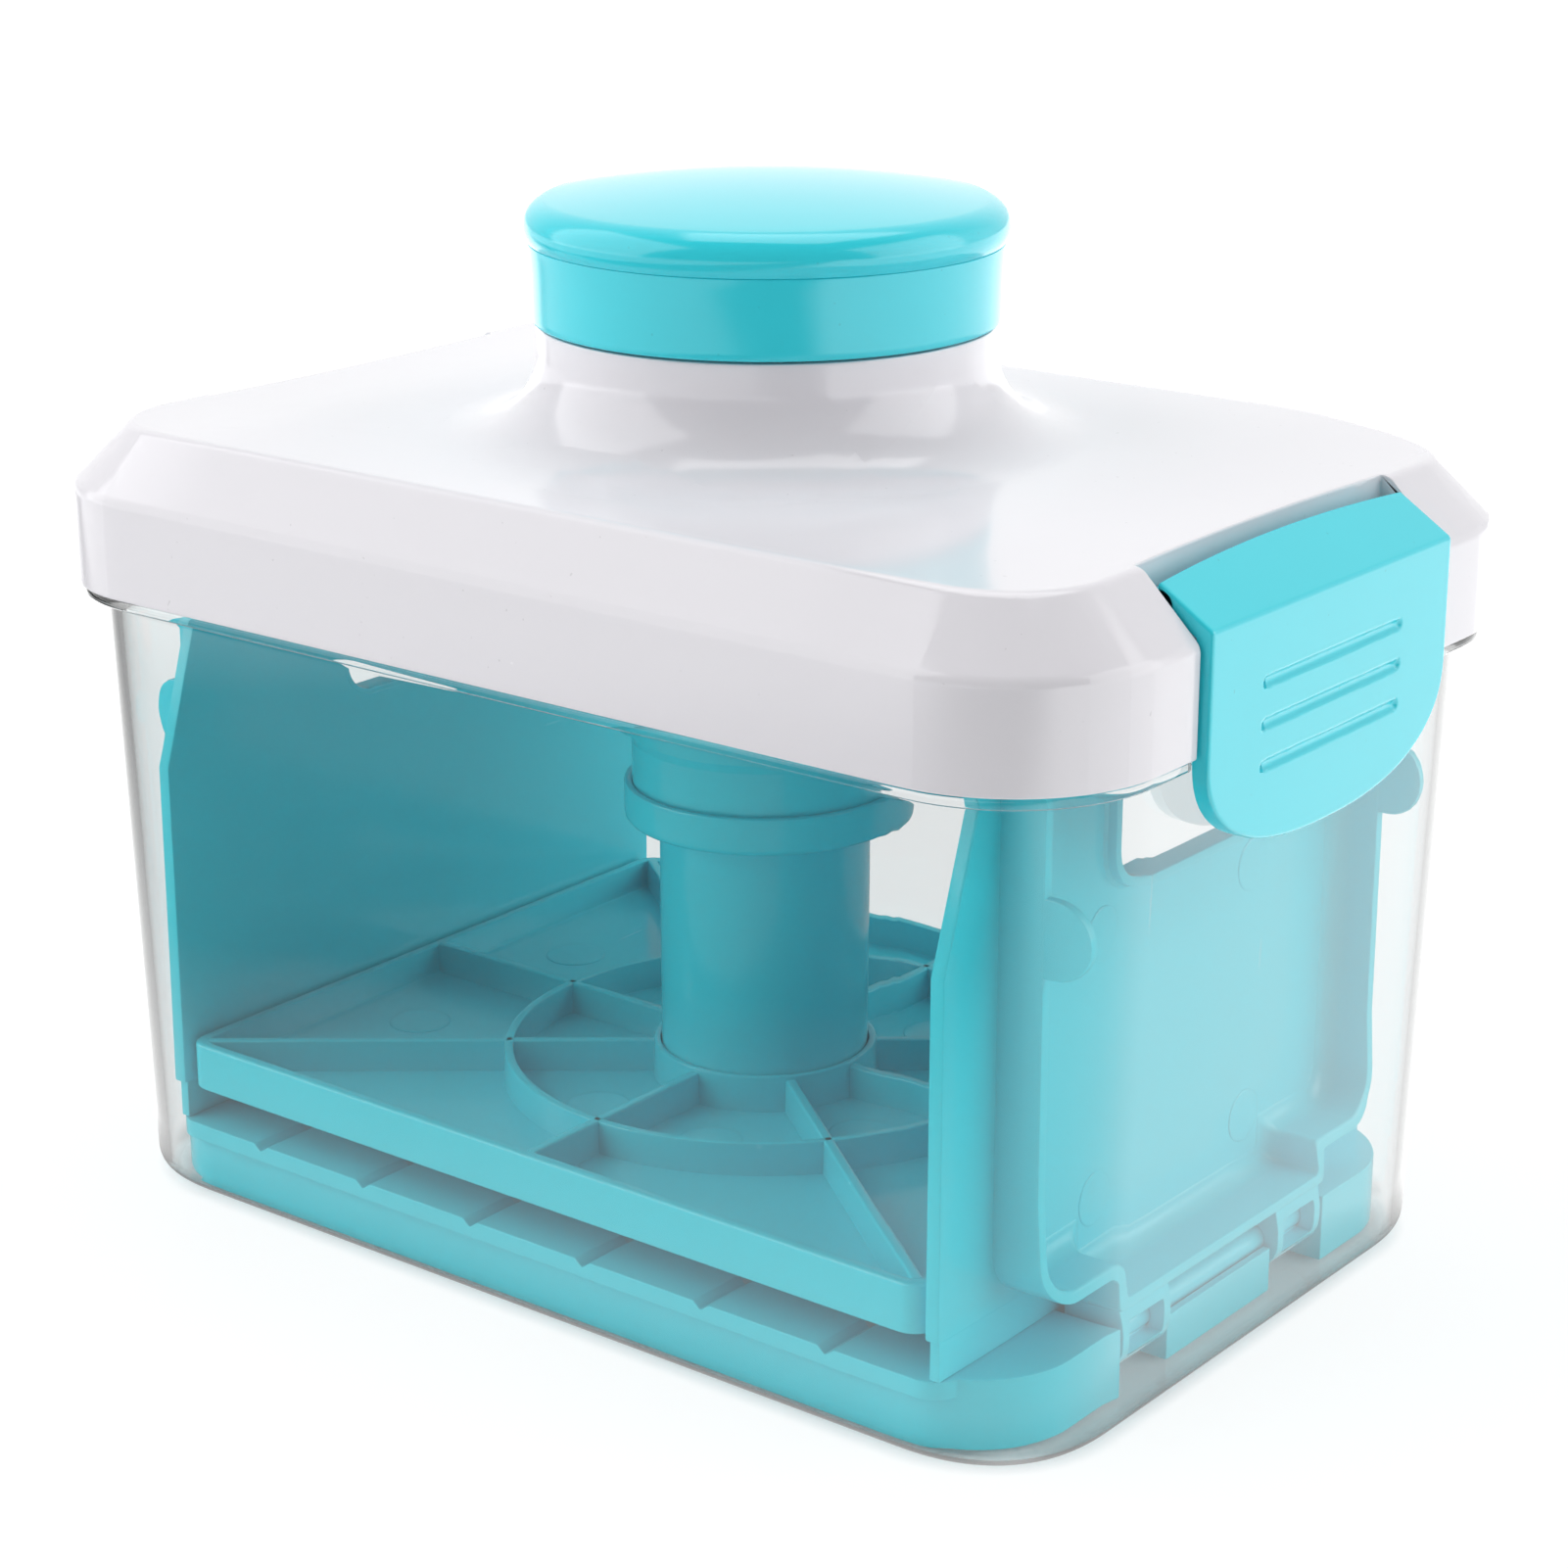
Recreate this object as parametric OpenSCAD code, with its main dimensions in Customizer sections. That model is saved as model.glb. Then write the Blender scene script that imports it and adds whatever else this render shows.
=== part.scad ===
// Tofu press: a clear tub, a white lid with two swing latches, and a spring plunger that presses
// the tofu on a drain tray between two hinged end panels.
// Millimetres, +Z up, origin at the middle of the tub's underside, X along the tub, latches at +X and -X.

/* [Lid] */
// Length of the lid over its vertical band
lid_len = 170; // [168:1:173]
// Width of the lid over its vertical band
lid_wid = 115.4; // [114.6:0.2:117.4]
// Corner radius of the band
lid_corner_r = 21; // [19:0.5:22]
// Height of the lid's lower edge above the table
lid_base_z = 87; // [86.6:0.1:87.6]
// Height of the vertical band
lid_band_h = 13.5; // [12.8:0.1:14]
// Height of the flat top above the lower edge
lid_rise = 21.5; // [21.2:0.1:22]
// How far the bevel draws the flat top in from the band
bevel_in = 8.2; // [7.5:0.1:9]
// Wall of the lid
lid_wall = 2.0; // [1.8:0.1:2.1]

/* [Neck and knob] */
// Outer radius of the neck
neck_r = 30.2; // [29.8:0.1:30.4]
// Height of the neck above the flat top
neck_h = 15.2; // [14.6:0.1:15.6]
// Reach of the flare between neck and flat top
flare_w = 14.5; // [8:0.5:16]
// Height of that flare
flare_h = 11.5; // [8:0.5:12.5]
// Largest radius of the knob
knob_r = 31.8; // [31.6:0.1:32.4]
// Height of the knob's crown above the neck
knob_h = 18.4; // [18.2:0.1:19]
// Swing of the knob's bayonet lugs, in degrees
lug_span = 32; // [24:1:38]

/* [Tub] */
// Half length of the tub at the table
tub_base_x = 79.1; // [78.9:0.1:79.4]
// Half width of the tub at the table
tub_base_y = 52.0; // [51.9:0.1:52.2]
// How far each wall leans out between the table and the rim
tub_lean = 3.0; // [2.8:0.1:3.1]
// Corner radius of the tub
tub_corner_r = 17; // [16:0.5:18]
// Wall of the tub
tub_wall = 1.7; // [1.5:0.1:1.8]
// Height of the tub's rim
tub_h = 97; // [95.1:0.1:97.1]

/* [Plunger] */
// Outer radius of the plunger tube
tube_r = 14.3; // [14:0.1:14.4]
// Wall of the plunger tube
tube_wall = 1.7; // [1.4:0.1:1.9]
// Height of the press plate's underside with no tofu in
plate_z = 15.6; // [15.6:0.1:16.1]
// Half length of the press plate
plate_x = 63.0; // [61:0.5:63]
// Half width of the press plate
plate_y = 50.0; // [48:0.5:50]
// Height of the press plate's outer wall
plate_h = 6.9; // [6.5:0.1:7.2]
// Radius of the large stiffening ring
ring_r = 36.2; // [33:0.1:38]

/* [Spring] */
// Wire diameter
wire_d = 1.8; // [1.4:0.1:2]
// Radius of the coil's centre line
coil_r = 10.6; // [9.5:0.1:10.7]
// Working coils
coils = 13; // [10:1:16]

/* [Latches] */
// Half width of each latch
latch_half = 28.2; // [27.8:0.1:28.3]
// Lowest point of the latch
latch_low_z = 72.7; // [71.1:0.2:75.1]
// Grip grooves on each latch
grip_count = 3; // [1:1:4]

/* [Drain tray] */
// Height of the deck that the tofu lies on
deck_z = 10.5; // [10.3:0.1:10.5]
// Drain grooves across the deck
groove_count = 6; // [4:1:7]
// Distance between drain grooves
groove_pitch = 19.6; // [16:0.1:20]

/* [End panels] */
// Distance of the panels' pressing faces from the middle
panel_x = 63.6; // [63.6:0.1:63.8]
// Height of the panels' top edge
panel_top = 89.1; // [87.1:0.5:91.1]
// Depth of the pan on the outside of each panel
pan_depth = 6.1; // [5.5:0.1:6.4]

/* [Hidden] */
$fn = 96;
eps = 0.01;
far = 200;                                  // longer than the object, for cutters
teal = [0.36, 0.80, 0.84];
white = [0.95, 0.94, 0.97];
steel = [0.75, 0.76, 0.78];
clear = [0.86, 0.93, 0.94, 0.3];

// Lid levels
lid_x = lid_len / 2;
lid_y = lid_wid / 2;
lid_top_z = lid_base_z + lid_rise;
band_top_z = lid_base_z + lid_band_h;
neck_top_z = lid_top_z + neck_h;
edge_soft = 2.2;                            // radius along the band's and the flat top's edges

// Latch pocket, cut into each short end of the lid
pocket_half = latch_half + 0.4;
pocket_cheek = 1.8;
pocket_back_x = lid_x - 9.4;                // back wall at the pocket's corners
pocket_bow = 1.0;                           // how far the back wall bows towards the neck
pocket_floor_z = 98.7;
pocket_floor_t = 1.4;
skirt_in_x = lid_x - lid_wall - 0.1;

// Latch
latch_t = 2.2;
latch_out_x = lid_x + 1.2;
latch_pin_x = lid_x - 6.1;
latch_pin_z = lid_top_z - 4.2;
latch_pin_r = 1.0;
facet_t = 2.0;
facet_slope = 0.826;                        // rise of the top facet for each millimetre inwards
facet_x = latch_pin_x;                      // a point of the facet's upper face ...
facet_z = latch_pin_z + 2.5;                // ... straight above the pin
facet_drop = facet_t * sqrt(1 + facet_slope * facet_slope);
knuckle_r = 2.5 / sqrt(1 + facet_slope * facet_slope);
fold_r = 2.0;
latch_arc_z = 87.1;                           // height at which the rounded lower edge starts
grip_z = 93.6;
grip_pitch = 5.15;
grip_half = 15.6;
grip_r = 0.95;
hook_top_z = 85.1;
hook_h = 2.1;
hook_half = 14;

// Tub
tub_floor = 1.1;
tub_foot_r = 3.0;                           // rounding of the outer bottom edge
ledge_t = 1.6;
ledge_x = lid_x - 0.8;
ledge_y = lid_y - 0.8;
catch_x = 83.1;                             // the ledge stands back behind the latches

// Sleeve stack
running_gap = 0.06;                         // between pieces that slide or turn in one another
sleeve_r = 18.0;
sleeve_upper_r = 18.6;
sleeve_in_r = 15.9;
sleeve_low_z = 57.9;
sleeve_step_z = 67.1;
flange_r = 24.8;
flange_t = 2.2;
flange_top_z = neck_top_z + flange_t;
collar_r = 19.1;
collar_low_z = 55.9;
collar_top_z = 61.2;
cover_t = 1.8;
cover_top_z = flange_top_z + cover_t;
screw_ring_r = 21.9;
screw_r = 1.5;
screw_count = 3;

// Neck spigot and bayonet
spigot_in_r = 25.6;
spigot_out_r = 27.2;
spigot_h = 4.8;
lug_r = 28.5;
lug_t = 1.4;
skirt_gap = 0.3;                            // shadow line between knob and neck
skirt_in_r = 28.9;
parting_z = neck_top_z + 10.6;

// Plunger
plate_floor_t = 2.5;
plate_wall = 1.6;
rib_t = 1.5;
rib_top_z = plate_z + plate_h + 0.1;
socket_in_r = tube_r + 0.12;
socket_out_r = tube_r + 1.1;
socket_top_z = plate_z + plate_h + 0.7;
floor_top_z = plate_z + plate_floor_t;
tube_top_z = 87.1;
stop_r = sleeve_in_r - running_gap;         // stop flange that rides in the sleeve
stop_z = collar_low_z + 2.05;
stop_t = 3;

// Spring
spring_low_z = floor_top_z + 0.1 + wire_d / 2;
spring_high_z = flange_top_z - 0.1 - wire_d / 2;
closed_turns = 1.5;
closed_pitch = wire_d + 0.5;
rings_per_turn = 8;
wire_sides = 6;

// Tray
tray_x = 73.8;
tray_y = 48.8;
tray_corner_r = 14;
tray_low_z = tub_floor;
tray_wall = 1.8;
lip_x = 66.3;
lip_y = 50.2;
lip_r = 4;
lip_h = 2.5;
bay_in_y = 12.6;                            // bays in each end, where the panels' lugs hang
bay_out_y = 24.6;
bay_x = 65.0;
cradle_x = 73.0;
cradle_top_z = 7.3;

// Hinge of the end panels
rod_x = 69.6;
rod_z = 7.7;
rod_r = 2.0;
rod_half = 27.5;

// End panels
panel_t = 2.0;
panel_half = 50.1;
shoulder_z = 62.1;                            // above this the side edges lean in
panel_top_half = 42.6;
foot_z = 15.9;
foot_inset = 0.3;
pan_half = 39.5;
pan_wall = 1.6;
pan_low_z = 17.2;
pan_mid_low_z = 12.6;
pan_mid_half = 24.8;
pan_corner_r = 7;
pan_flare = 2.1;                            // how much deeper the pan is at the hinge
cove_r = 2.6;
cove_steps = 5;
ear_z = 65.6;
ear_r = 5;
ear_tip_x = 77.9;
slot_half = 15;
slot_low_z = 64.4;
slot_h = 16;
slot_r = 4.5;
lug_in_y = 13.1;
lug_out_y = 24.1;
knuckle_out_r = 4.2;

// ---------- helpers ----------

// Rounded rectangle of half sizes hx, hy
module rounded(hx, hy, r) {
  square([2 * (hx - r), 2 * hy], center = true);
  square([2 * hx, 2 * (hy - r)], center = true);
  for (sx = [-1, 1], sy = [-1, 1])
    translate([sx * (hx - r), sy * (hy - r)]) circle(r);
}

module slab(hx, hy, r, z, h) {
  translate([0, 0, z]) linear_extrude(h) rounded(hx, hy, r);
}

// A drawing in the Y-Z plane, pushed out from x0 to x1
module from_front(x0, x1) {
  translate([x0, 0, 0]) rotate([90, 0, 90]) linear_extrude(x1 - x0) children();
}

// A drawing in the X-Z plane, pushed out from -half to half along Y
module from_side(half) {
  translate([0, half, 0]) rotate([90, 0, 0]) linear_extrude(2 * half) children();
}

// Block with rounded corners whose side follows a line of [inset, z] points, lowest first
module block(hx, hy, r, line) {
  n = len(line);
  low = line[0][1];
  top = line[n - 1][1];
  for (sx = [-1, 1], sy = [-1, 1])
    translate([sx * (hx - r), sy * (hy - r), 0])
      rotate_extrude() polygon(concat([[0, low]], [for (q = line) [r - q[0], q[1]]], [[0, top]]));
  from_side(hy - r)
    polygon(concat([for (q = line) [hx - q[0], q[1]]],
                   [for (i = [n - 1 : -1 : 0]) [line[i][0] - hx, line[i][1]]]));
  from_front(r - hx, hx - r)
    polygon(concat([for (q = line) [hy - q[0], q[1]]],
                   [for (i = [n - 1 : -1 : 0]) [line[i][0] - hy, line[i][1]]]));
}

module rod_along_y(x, z, r, half) {
  translate([x, half, z]) rotate([90, 0, 0]) cylinder(h = 2 * half, r = r);
}

module box(x0, x1, y0, y1, z0, z1) {
  translate([x0, y0, z0]) cube([x1 - x0, y1 - y0, z1 - z0]);
}

module ring(r_out, r_in, z, h) {
  translate([0, 0, z]) difference() {
    cylinder(h = h, r = r_out);
    translate([0, 0, -1]) cylinder(h = h + 2, r = r_in);
  }
}

// Sector of a ring, span degrees wide, centred on +X
module sector(r_out, r_in, z, h, span) {
  translate([0, 0, z]) rotate([0, 0, -span / 2]) rotate_extrude(angle = span)
    translate([r_in, 0]) square([r_out - r_in, h]);
}

function arc(cx, cy, rx, ry, a0, a1, n) =
  [for (i = [0 : n]) let (a = a0 + (a1 - a0) * i / n) [cx + rx * cos(a), cy + ry * sin(a)]];

// The same piece at the +X end and, turned half a turn, at the -X end
module at_end(side) {
  if (side == "right") children();
  else rotate([0, 0, 180]) children();
}

// ---------- tub ----------

function tub_inset(z) = -tub_lean * z / tub_h;

module tub() {
  inner_soft = 0.8;
  foot = [for (q = arc(tub_foot_r, tub_foot_r, tub_foot_r, tub_foot_r, 270, 180, 5))
    [q[0] + tub_inset(q[1]), q[1]]];
  inside = [for (q = arc(tub_wall + inner_soft, tub_floor + inner_soft, inner_soft, inner_soft, 270, 180, 3))
    [q[0] + tub_inset(q[1]), q[1]]];
  color(clear) difference() {
    union() {
      block(tub_base_x, tub_base_y, tub_corner_r, concat(foot, [[tub_inset(tub_h), tub_h]]));
      slab(ledge_x, ledge_y, lid_corner_r - 0.8, lid_base_z - ledge_t, ledge_t);
    }
    block(tub_base_x, tub_base_y, tub_corner_r,
          concat(inside, [[tub_wall + tub_inset(tub_h + 1), tub_h + 1]]));
    for (s = [-1, 1])
      translate([s * (catch_x + 10), 0, lid_base_z - ledge_t / 2])
        cube([20, 2 * pocket_half, ledge_t + 2], center = true);
  }
}

// ---------- lid ----------

bevel_angle = atan(bevel_in / (lid_top_z - band_top_z));

// Side line of the lid: band, soft edge, bevel, soft edge, flat top
module lid_outside() {
  run = edge_soft * tan(bevel_angle / 2);
  turn = 90 - bevel_angle;
  run_top = edge_soft * tan(turn / 2);
  block(lid_x, lid_y, lid_corner_r, concat(
    [[0, lid_base_z]],
    arc(edge_soft, band_top_z - run, edge_soft, edge_soft, 180, 180 - bevel_angle, 4),
    arc(bevel_in + run_top, lid_top_z - edge_soft, edge_soft, edge_soft, 90 + turn, 90, 4)));
}

module lid_inside() {
  block(lid_x, lid_y, lid_corner_r, [
    [lid_wall, lid_base_z - 1],
    [lid_wall, band_top_z - 0.5],
    [bevel_in + lid_wall * 0.5, lid_top_z - lid_wall]]);
}

// Neck with its flare, solid; thin is how far the surface is set in
module neck_solid(thin, top_z) {
  base_z = lid_top_z - thin;
  rotate_extrude() polygon(concat(
    [[0, top_z], [0, base_z - 1], [neck_r + flare_w, base_z - 1]],
    arc(neck_r + flare_w, lid_top_z + flare_h, flare_w + thin, flare_h + thin, 270, 180, 12),
    [[neck_r - thin, top_z]]));
}

// Plan of a latch pocket: its back wall bows towards the neck
module pocket_plan(back_x, bow, half, out_x) {
  n = 8;
  polygon(concat(
    [for (i = [-n : n]) [back_x - bow * (1 - (i / n) * (i / n)), half * i / n]],
    [[out_x, half], [out_x, -half]]));
}

module lid_shell() {
  boss_r = 3.1;
  boss_h = 8;
  color(white) difference() {
    union() {
      difference() {
        lid_outside();
        lid_inside();
      }
      neck_solid(0, neck_top_z);
      ring(spigot_out_r, spigot_in_r, neck_top_z - 1, spigot_h + 1);
      for (i = [0 : 2])
        rotate([0, 0, 120 * i])
          sector(lug_r, spigot_out_r - 0.4, neck_top_z + spigot_h - lug_t - 0.1, lug_t, lug_span);
      intersection() {
        lid_outside();
        for (side = ["left", "right"])
          at_end(side)
            box(pocket_back_x - 2.2, skirt_in_x, -pocket_half - pocket_cheek, pocket_half + pocket_cheek,
                pocket_floor_z - pocket_floor_t, lid_top_z);
      }
    }
    difference() {
      neck_solid(lid_wall, neck_top_z - lid_wall);
      at_screws() translate([0, 0, neck_top_z - lid_wall - boss_h]) cylinder(h = boss_h + 1, r = boss_r);
    }
    translate([0, 0, neck_top_z - lid_wall - 1]) cylinder(h = lid_wall + 2, r = sleeve_upper_r + 0.15);
    at_screws() translate([0, 0, neck_top_z - 7]) cylinder(h = 8, r = screw_r + 0.02);
    for (side = ["left", "right"])
      at_end(side) {
        translate([0, 0, pocket_floor_z]) linear_extrude(20)
          pocket_plan(pocket_back_x, pocket_bow, pocket_half, lid_x + 5);
        box(skirt_in_x, lid_x + 5, -pocket_half, pocket_half, lid_base_z - 2, pocket_floor_z + 1);
        rod_along_y(latch_pin_x, latch_pin_z, latch_pin_r + 0.02, pocket_half + pocket_cheek + 0.5);
      }
  }
}

// The three screw positions around the neck
module at_screws() {
  for (i = [0 : screw_count - 1])
    rotate([0, 0, 60 + 120 * i]) translate([screw_ring_r, 0, 0]) children();
}

module guide_sleeve() {
  color(teal) difference() {
    rotate_extrude() polygon([
      [sleeve_in_r, sleeve_low_z], [sleeve_r, sleeve_low_z], [sleeve_r, sleeve_step_z],
      [sleeve_upper_r, sleeve_step_z + 1.2], [sleeve_upper_r, neck_top_z], [flange_r, neck_top_z],
      [flange_r, flange_top_z - 0.3], [flange_r - 0.3, flange_top_z], [sleeve_in_r, flange_top_z]]);
    at_screws() translate([0, 0, neck_top_z - 1]) cylinder(h = flange_t + 2, r = screw_r + 0.1);
  }
}

// Collar that closes the sleeve's foot and stops the plunger's flange
module sleeve_collar() {
  lip_in_r = tube_r + 0.3;
  color(teal) rotate_extrude() polygon([
    [lip_in_r, collar_low_z + 0.3], [lip_in_r + 0.3, collar_low_z], [collar_r - 0.8, collar_low_z],
    [collar_r - 0.2, collar_low_z + 0.3], [collar_r, collar_low_z + 1], [collar_r, collar_top_z - 0.4],
    [collar_r - 0.4, collar_top_z], [sleeve_r + 0.05, collar_top_z],
    [sleeve_r + 0.05, sleeve_low_z - 0.05], [lip_in_r, sleeve_low_z - 0.05]]);
}

module spring_cover() {
  centring_r = coil_r * cos(180 / rings_per_turn) - wire_d / 2 - 0.3;
  color(teal) difference() {
    union() {
      translate([0, 0, flange_top_z]) cylinder(h = cover_t, r = flange_r);
      translate([0, 0, flange_top_z - 4]) cylinder(h = 4 + eps, r = centring_r);
    }
    translate([0, 0, flange_top_z - 5]) cylinder(h = 5, r = centring_r - 1.6);
    at_screws() translate([0, 0, flange_top_z - 1]) cylinder(h = cover_t + 2, r = screw_r + 0.1);
  }
}

module cover_screws() {
  head_r = 2.7;
  head_h = 1.5;
  recess_w = 0.9;
  color(steel) at_screws() difference() {
    union() {
      translate([0, 0, neck_top_z - 6.5]) cylinder(h = cover_top_z - neck_top_z + 6.5, r = screw_r);
      translate([0, 0, cover_top_z]) cylinder(h = head_h, r1 = head_r, r2 = head_r - 0.5);
    }
    for (a = [0, 90])
      rotate([0, 0, a]) translate([0, 0, cover_top_z + head_h])
        cube([2.6, recess_w, 1.6], center = true);
  }
}

// Points of the wire's centre line: closed turns at each end, working coils between them
total_turns = coils + 2 * closed_turns;
closed_rise = closed_turns * closed_pitch;
work_rise = spring_high_z - spring_low_z - 2 * closed_rise;
function wire_z(t) =
  t < closed_turns ? spring_low_z + closed_pitch * t :
  t > total_turns - closed_turns ? spring_high_z - closed_pitch * (total_turns - t) :
  spring_low_z + closed_rise + work_rise * (t - closed_turns) / coils;
wire_rings = total_turns * rings_per_turn;
function wire_point(i) = let (t = i / rings_per_turn)
  [coil_r * cos(360 * t), coil_r * sin(360 * t), wire_z(t)];

module press_spring() {
  path = [for (i = [0 : wire_rings]) wire_point(i)];
  points = [for (i = [0 : wire_rings], j = [0 : wire_sides - 1])
    let (a = 360 * i / rings_per_turn, b = 360 * j / wire_sides,
         out = wire_d / 2 * cos(b), up = wire_d / 2 * sin(b))
    [path[i][0] + out * cos(a), path[i][1] + out * sin(a), path[i][2] + up]];
  last = wire_rings * wire_sides;
  sides = [for (i = [0 : wire_rings - 1], j = [0 : wire_sides - 1])
    let (a = i * wire_sides + j, b = i * wire_sides + (j + 1) % wire_sides)
    each [[a, b, a + wire_sides], [b, b + wire_sides, a + wire_sides]]];
  first_cap = [for (j = [1 : wire_sides - 2]) [0, j + 1, j]];
  last_cap = [for (j = [1 : wire_sides - 2]) [last, last + j, last + j + 1]];
  color(steel) polyhedron(points, concat(sides, first_cap, last_cap));
  apart = rings_per_turn / 2;
  gaps = [for (i = [0 : wire_rings], k = [i + apart : min(wire_rings, i + 2 * rings_per_turn)])
    norm(path[i] - path[k]) - wire_d];
  echo(least_gap_of_spring_mm = min(gaps));
}

// ---------- knob ----------

rim_cx = knob_r - 4.2;
rim_cz = neck_top_z + 12.6;
crown_z = neck_top_z + knob_h;

// Outline of the knob's dome from its parting line to its middle; inset makes the inside
function dome_line(inset) =
  let (rx = 4.2 - inset * 0.8, rz = 3.6 - inset * 0.8,
       rim = arc(rim_cx, rim_cz, rx, rz, -32, 75, 12),
       top = rim[12],
       crown = [for (i = [1 : 8]) let (r = top[0] * (1 - i / 8))
         [r, crown_z - inset - (crown_z - inset - top[1]) * (r / top[0]) * (r / top[0])]])
  concat(rim, crown);

module knob_dome() {
  wall = 2;
  plug_r = skirt_in_r - 0.05;
  plug_z = parting_z - 3.6;
  outer = dome_line(0);
  inner = dome_line(wall);
  backwards = [for (i = [len(inner) - 1 : -1 : 0]) inner[i]];
  color(teal) rotate_extrude() polygon(concat(
    [[plug_r, parting_z], [outer[0][0], parting_z]], outer, backwards,
    [[plug_r - 1.6, parting_z], [plug_r - 1.6, plug_z], [plug_r - 0.3, plug_z], [plug_r, plug_z + 0.5]]));
}

module knob_skirt() {
  low_z = neck_top_z + skirt_gap;
  waist_r = neck_r + 0.6;
  top_r = dome_line(0)[0][0];
  outer = [for (i = [0 : 8]) let (t = i / 8) [waist_r + (top_r - waist_r) * t * t, low_z + (parting_z - low_z) * t]];
  color(teal) {
    rotate_extrude() polygon(concat([[skirt_in_r, low_z], [waist_r - 0.3, low_z]],
      [[waist_r, low_z + 0.3]], [for (i = [1 : 8]) outer[i]], [[skirt_in_r, parting_z]]));
    for (i = [0 : 2])
      rotate([0, 0, 120 * i])
        sector(skirt_in_r + 0.4, spigot_out_r + 0.45, low_z + 0.9, lug_t, lug_span - 4);
  }
}

// ---------- plunger ----------

module plunger_tube() {
  color(teal) rotate_extrude() polygon([
    [tube_r - tube_wall, floor_top_z], [tube_r, floor_top_z], [tube_r, stop_z], [stop_r, stop_z],
    [stop_r, stop_z + stop_t], [tube_r, stop_z + stop_t], [tube_r, tube_top_z - 0.6],
    [tube_r - 0.6, tube_top_z], [tube_r - tube_wall, tube_top_z]]);
}

module plate_ribs() {
  diagonal = atan2(plate_y - plate_wall, plate_x - plate_wall);
  for (a = [0, 90, 180, 270, diagonal, 180 - diagonal, 180 + diagonal, -diagonal])
    rotate([0, 0, a])
      box(socket_in_r + 0.5, 90, -rib_t / 2, rib_t / 2, floor_top_z - eps, rib_top_z);
}

module press_plate() {
  corner_r = 3;
  mark_r = 4.4;
  mark_h = 0.25;
  color(teal) {
    difference() {
      slab(plate_x, plate_y, corner_r, plate_z, plate_h);
      slab(plate_x - plate_wall, plate_y - plate_wall, corner_r - plate_wall + 0.8, floor_top_z, far);
    }
    intersection() {
      slab(plate_x - plate_wall + 0.2, plate_y - plate_wall + 0.2, corner_r, plate_z, plate_h + 5);
      union() {
        plate_ribs();
        ring(ring_r, ring_r - 1.3, floor_top_z - eps, rib_top_z - floor_top_z + eps);
      }
    }
    ring(socket_out_r, socket_in_r, floor_top_z - eps, socket_top_z - floor_top_z + eps);
    for (a = [22, 68, 112, 158, 202, 248, 292, 338])
      rotate([0, 0, a]) translate([26, 0, floor_top_z - eps]) cylinder(h = mark_h, r = mark_r);
  }
}

// ---------- latches ----------

module latch_profile() {
  sharp_z = facet_z - (latch_out_x - facet_x) * facet_slope;
  turn = atan(1 / facet_slope);
  tangent = fold_r * tan(turn / 2);
  in_x = latch_out_x - latch_t;
  end_x = facet_x - 1.9;
  polygon(concat(
    [[in_x, latch_low_z - 1], [latch_out_x, latch_low_z - 1]],
    arc(latch_out_x - fold_r, sharp_z - tangent, fold_r, fold_r, 0, turn, 8),
    [[end_x, facet_z + (facet_x - end_x) * facet_slope],
     [end_x, facet_z + (facet_x - end_x) * facet_slope - facet_drop],
     [in_x, facet_z + (facet_x - in_x) * facet_slope - facet_drop]]));
}

// Front view of a latch: straight sides, below them a half ellipse with fuller corners
module latch_front() {
  full = 2 / 2.4;
  drop = latch_arc_z - latch_low_z;
  polygon(concat([[latch_half, far], [-latch_half, far]],
    [for (a = [180 : 4.5 : 360])
      [latch_half * sign(cos(a)) * pow(abs(cos(a)), full), latch_arc_z - drop * pow(abs(sin(a)), full)]]));
}

module latch() {
  in_x = latch_out_x - latch_t;
  difference() {
    union() {
      intersection() {
        from_side(latch_half) latch_profile();
        from_front(60, 100) latch_front();
        linear_extrude(far) pocket_plan(facet_x, 1.1, latch_half, lid_x + 5);
      }
      rod_along_y(latch_pin_x, latch_pin_z, knuckle_r, latch_half);
      // hook under the tub's ledge
      from_side(hook_half) polygon([[in_x + 0.5, hook_top_z], [catch_x + 0.25, hook_top_z],
        [catch_x + 0.25, hook_top_z - 0.7], [in_x + 0.5, hook_top_z - hook_h]]);
    }
    rod_along_y(latch_pin_x, latch_pin_z, latch_pin_r + 0.05, latch_half + 1);
    for (i = [0 : grip_count - 1])
      rod_along_y(latch_out_x + 0.25, grip_z - grip_pitch * i, grip_r, grip_half);
  }
}

module latch_right() { color(teal) at_end("right") latch(); }
module latch_left() { color(teal) at_end("left") latch(); }

module latch_pin() { rod_along_y(latch_pin_x, latch_pin_z, latch_pin_r, pocket_half + pocket_cheek - 0.2); }
module latch_pin_right() { color(steel) at_end("right") latch_pin(); }
module latch_pin_left() { color(steel) at_end("left") latch_pin(); }

// ---------- drain tray ----------

// Plan of the tray's skirt with its corner blocks, end cradles and bays; inset makes the hollow
module tray_plan(inset) {
  difference() {
    rounded(tray_x - inset, tray_y - inset, tray_corner_r - inset);
    for (sx = [-1, 1]) {
      for (sy = [-1, 1])
        translate([sx * (bay_x - inset + 10), sy * (bay_in_y + bay_out_y) / 2])
          square([20, bay_out_y - bay_in_y + 2 * inset], center = true);
      translate([sx * (cradle_x - inset + 10), 0]) square([20, 2 * bay_in_y + 1], center = true);
    }
  }
}

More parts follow.
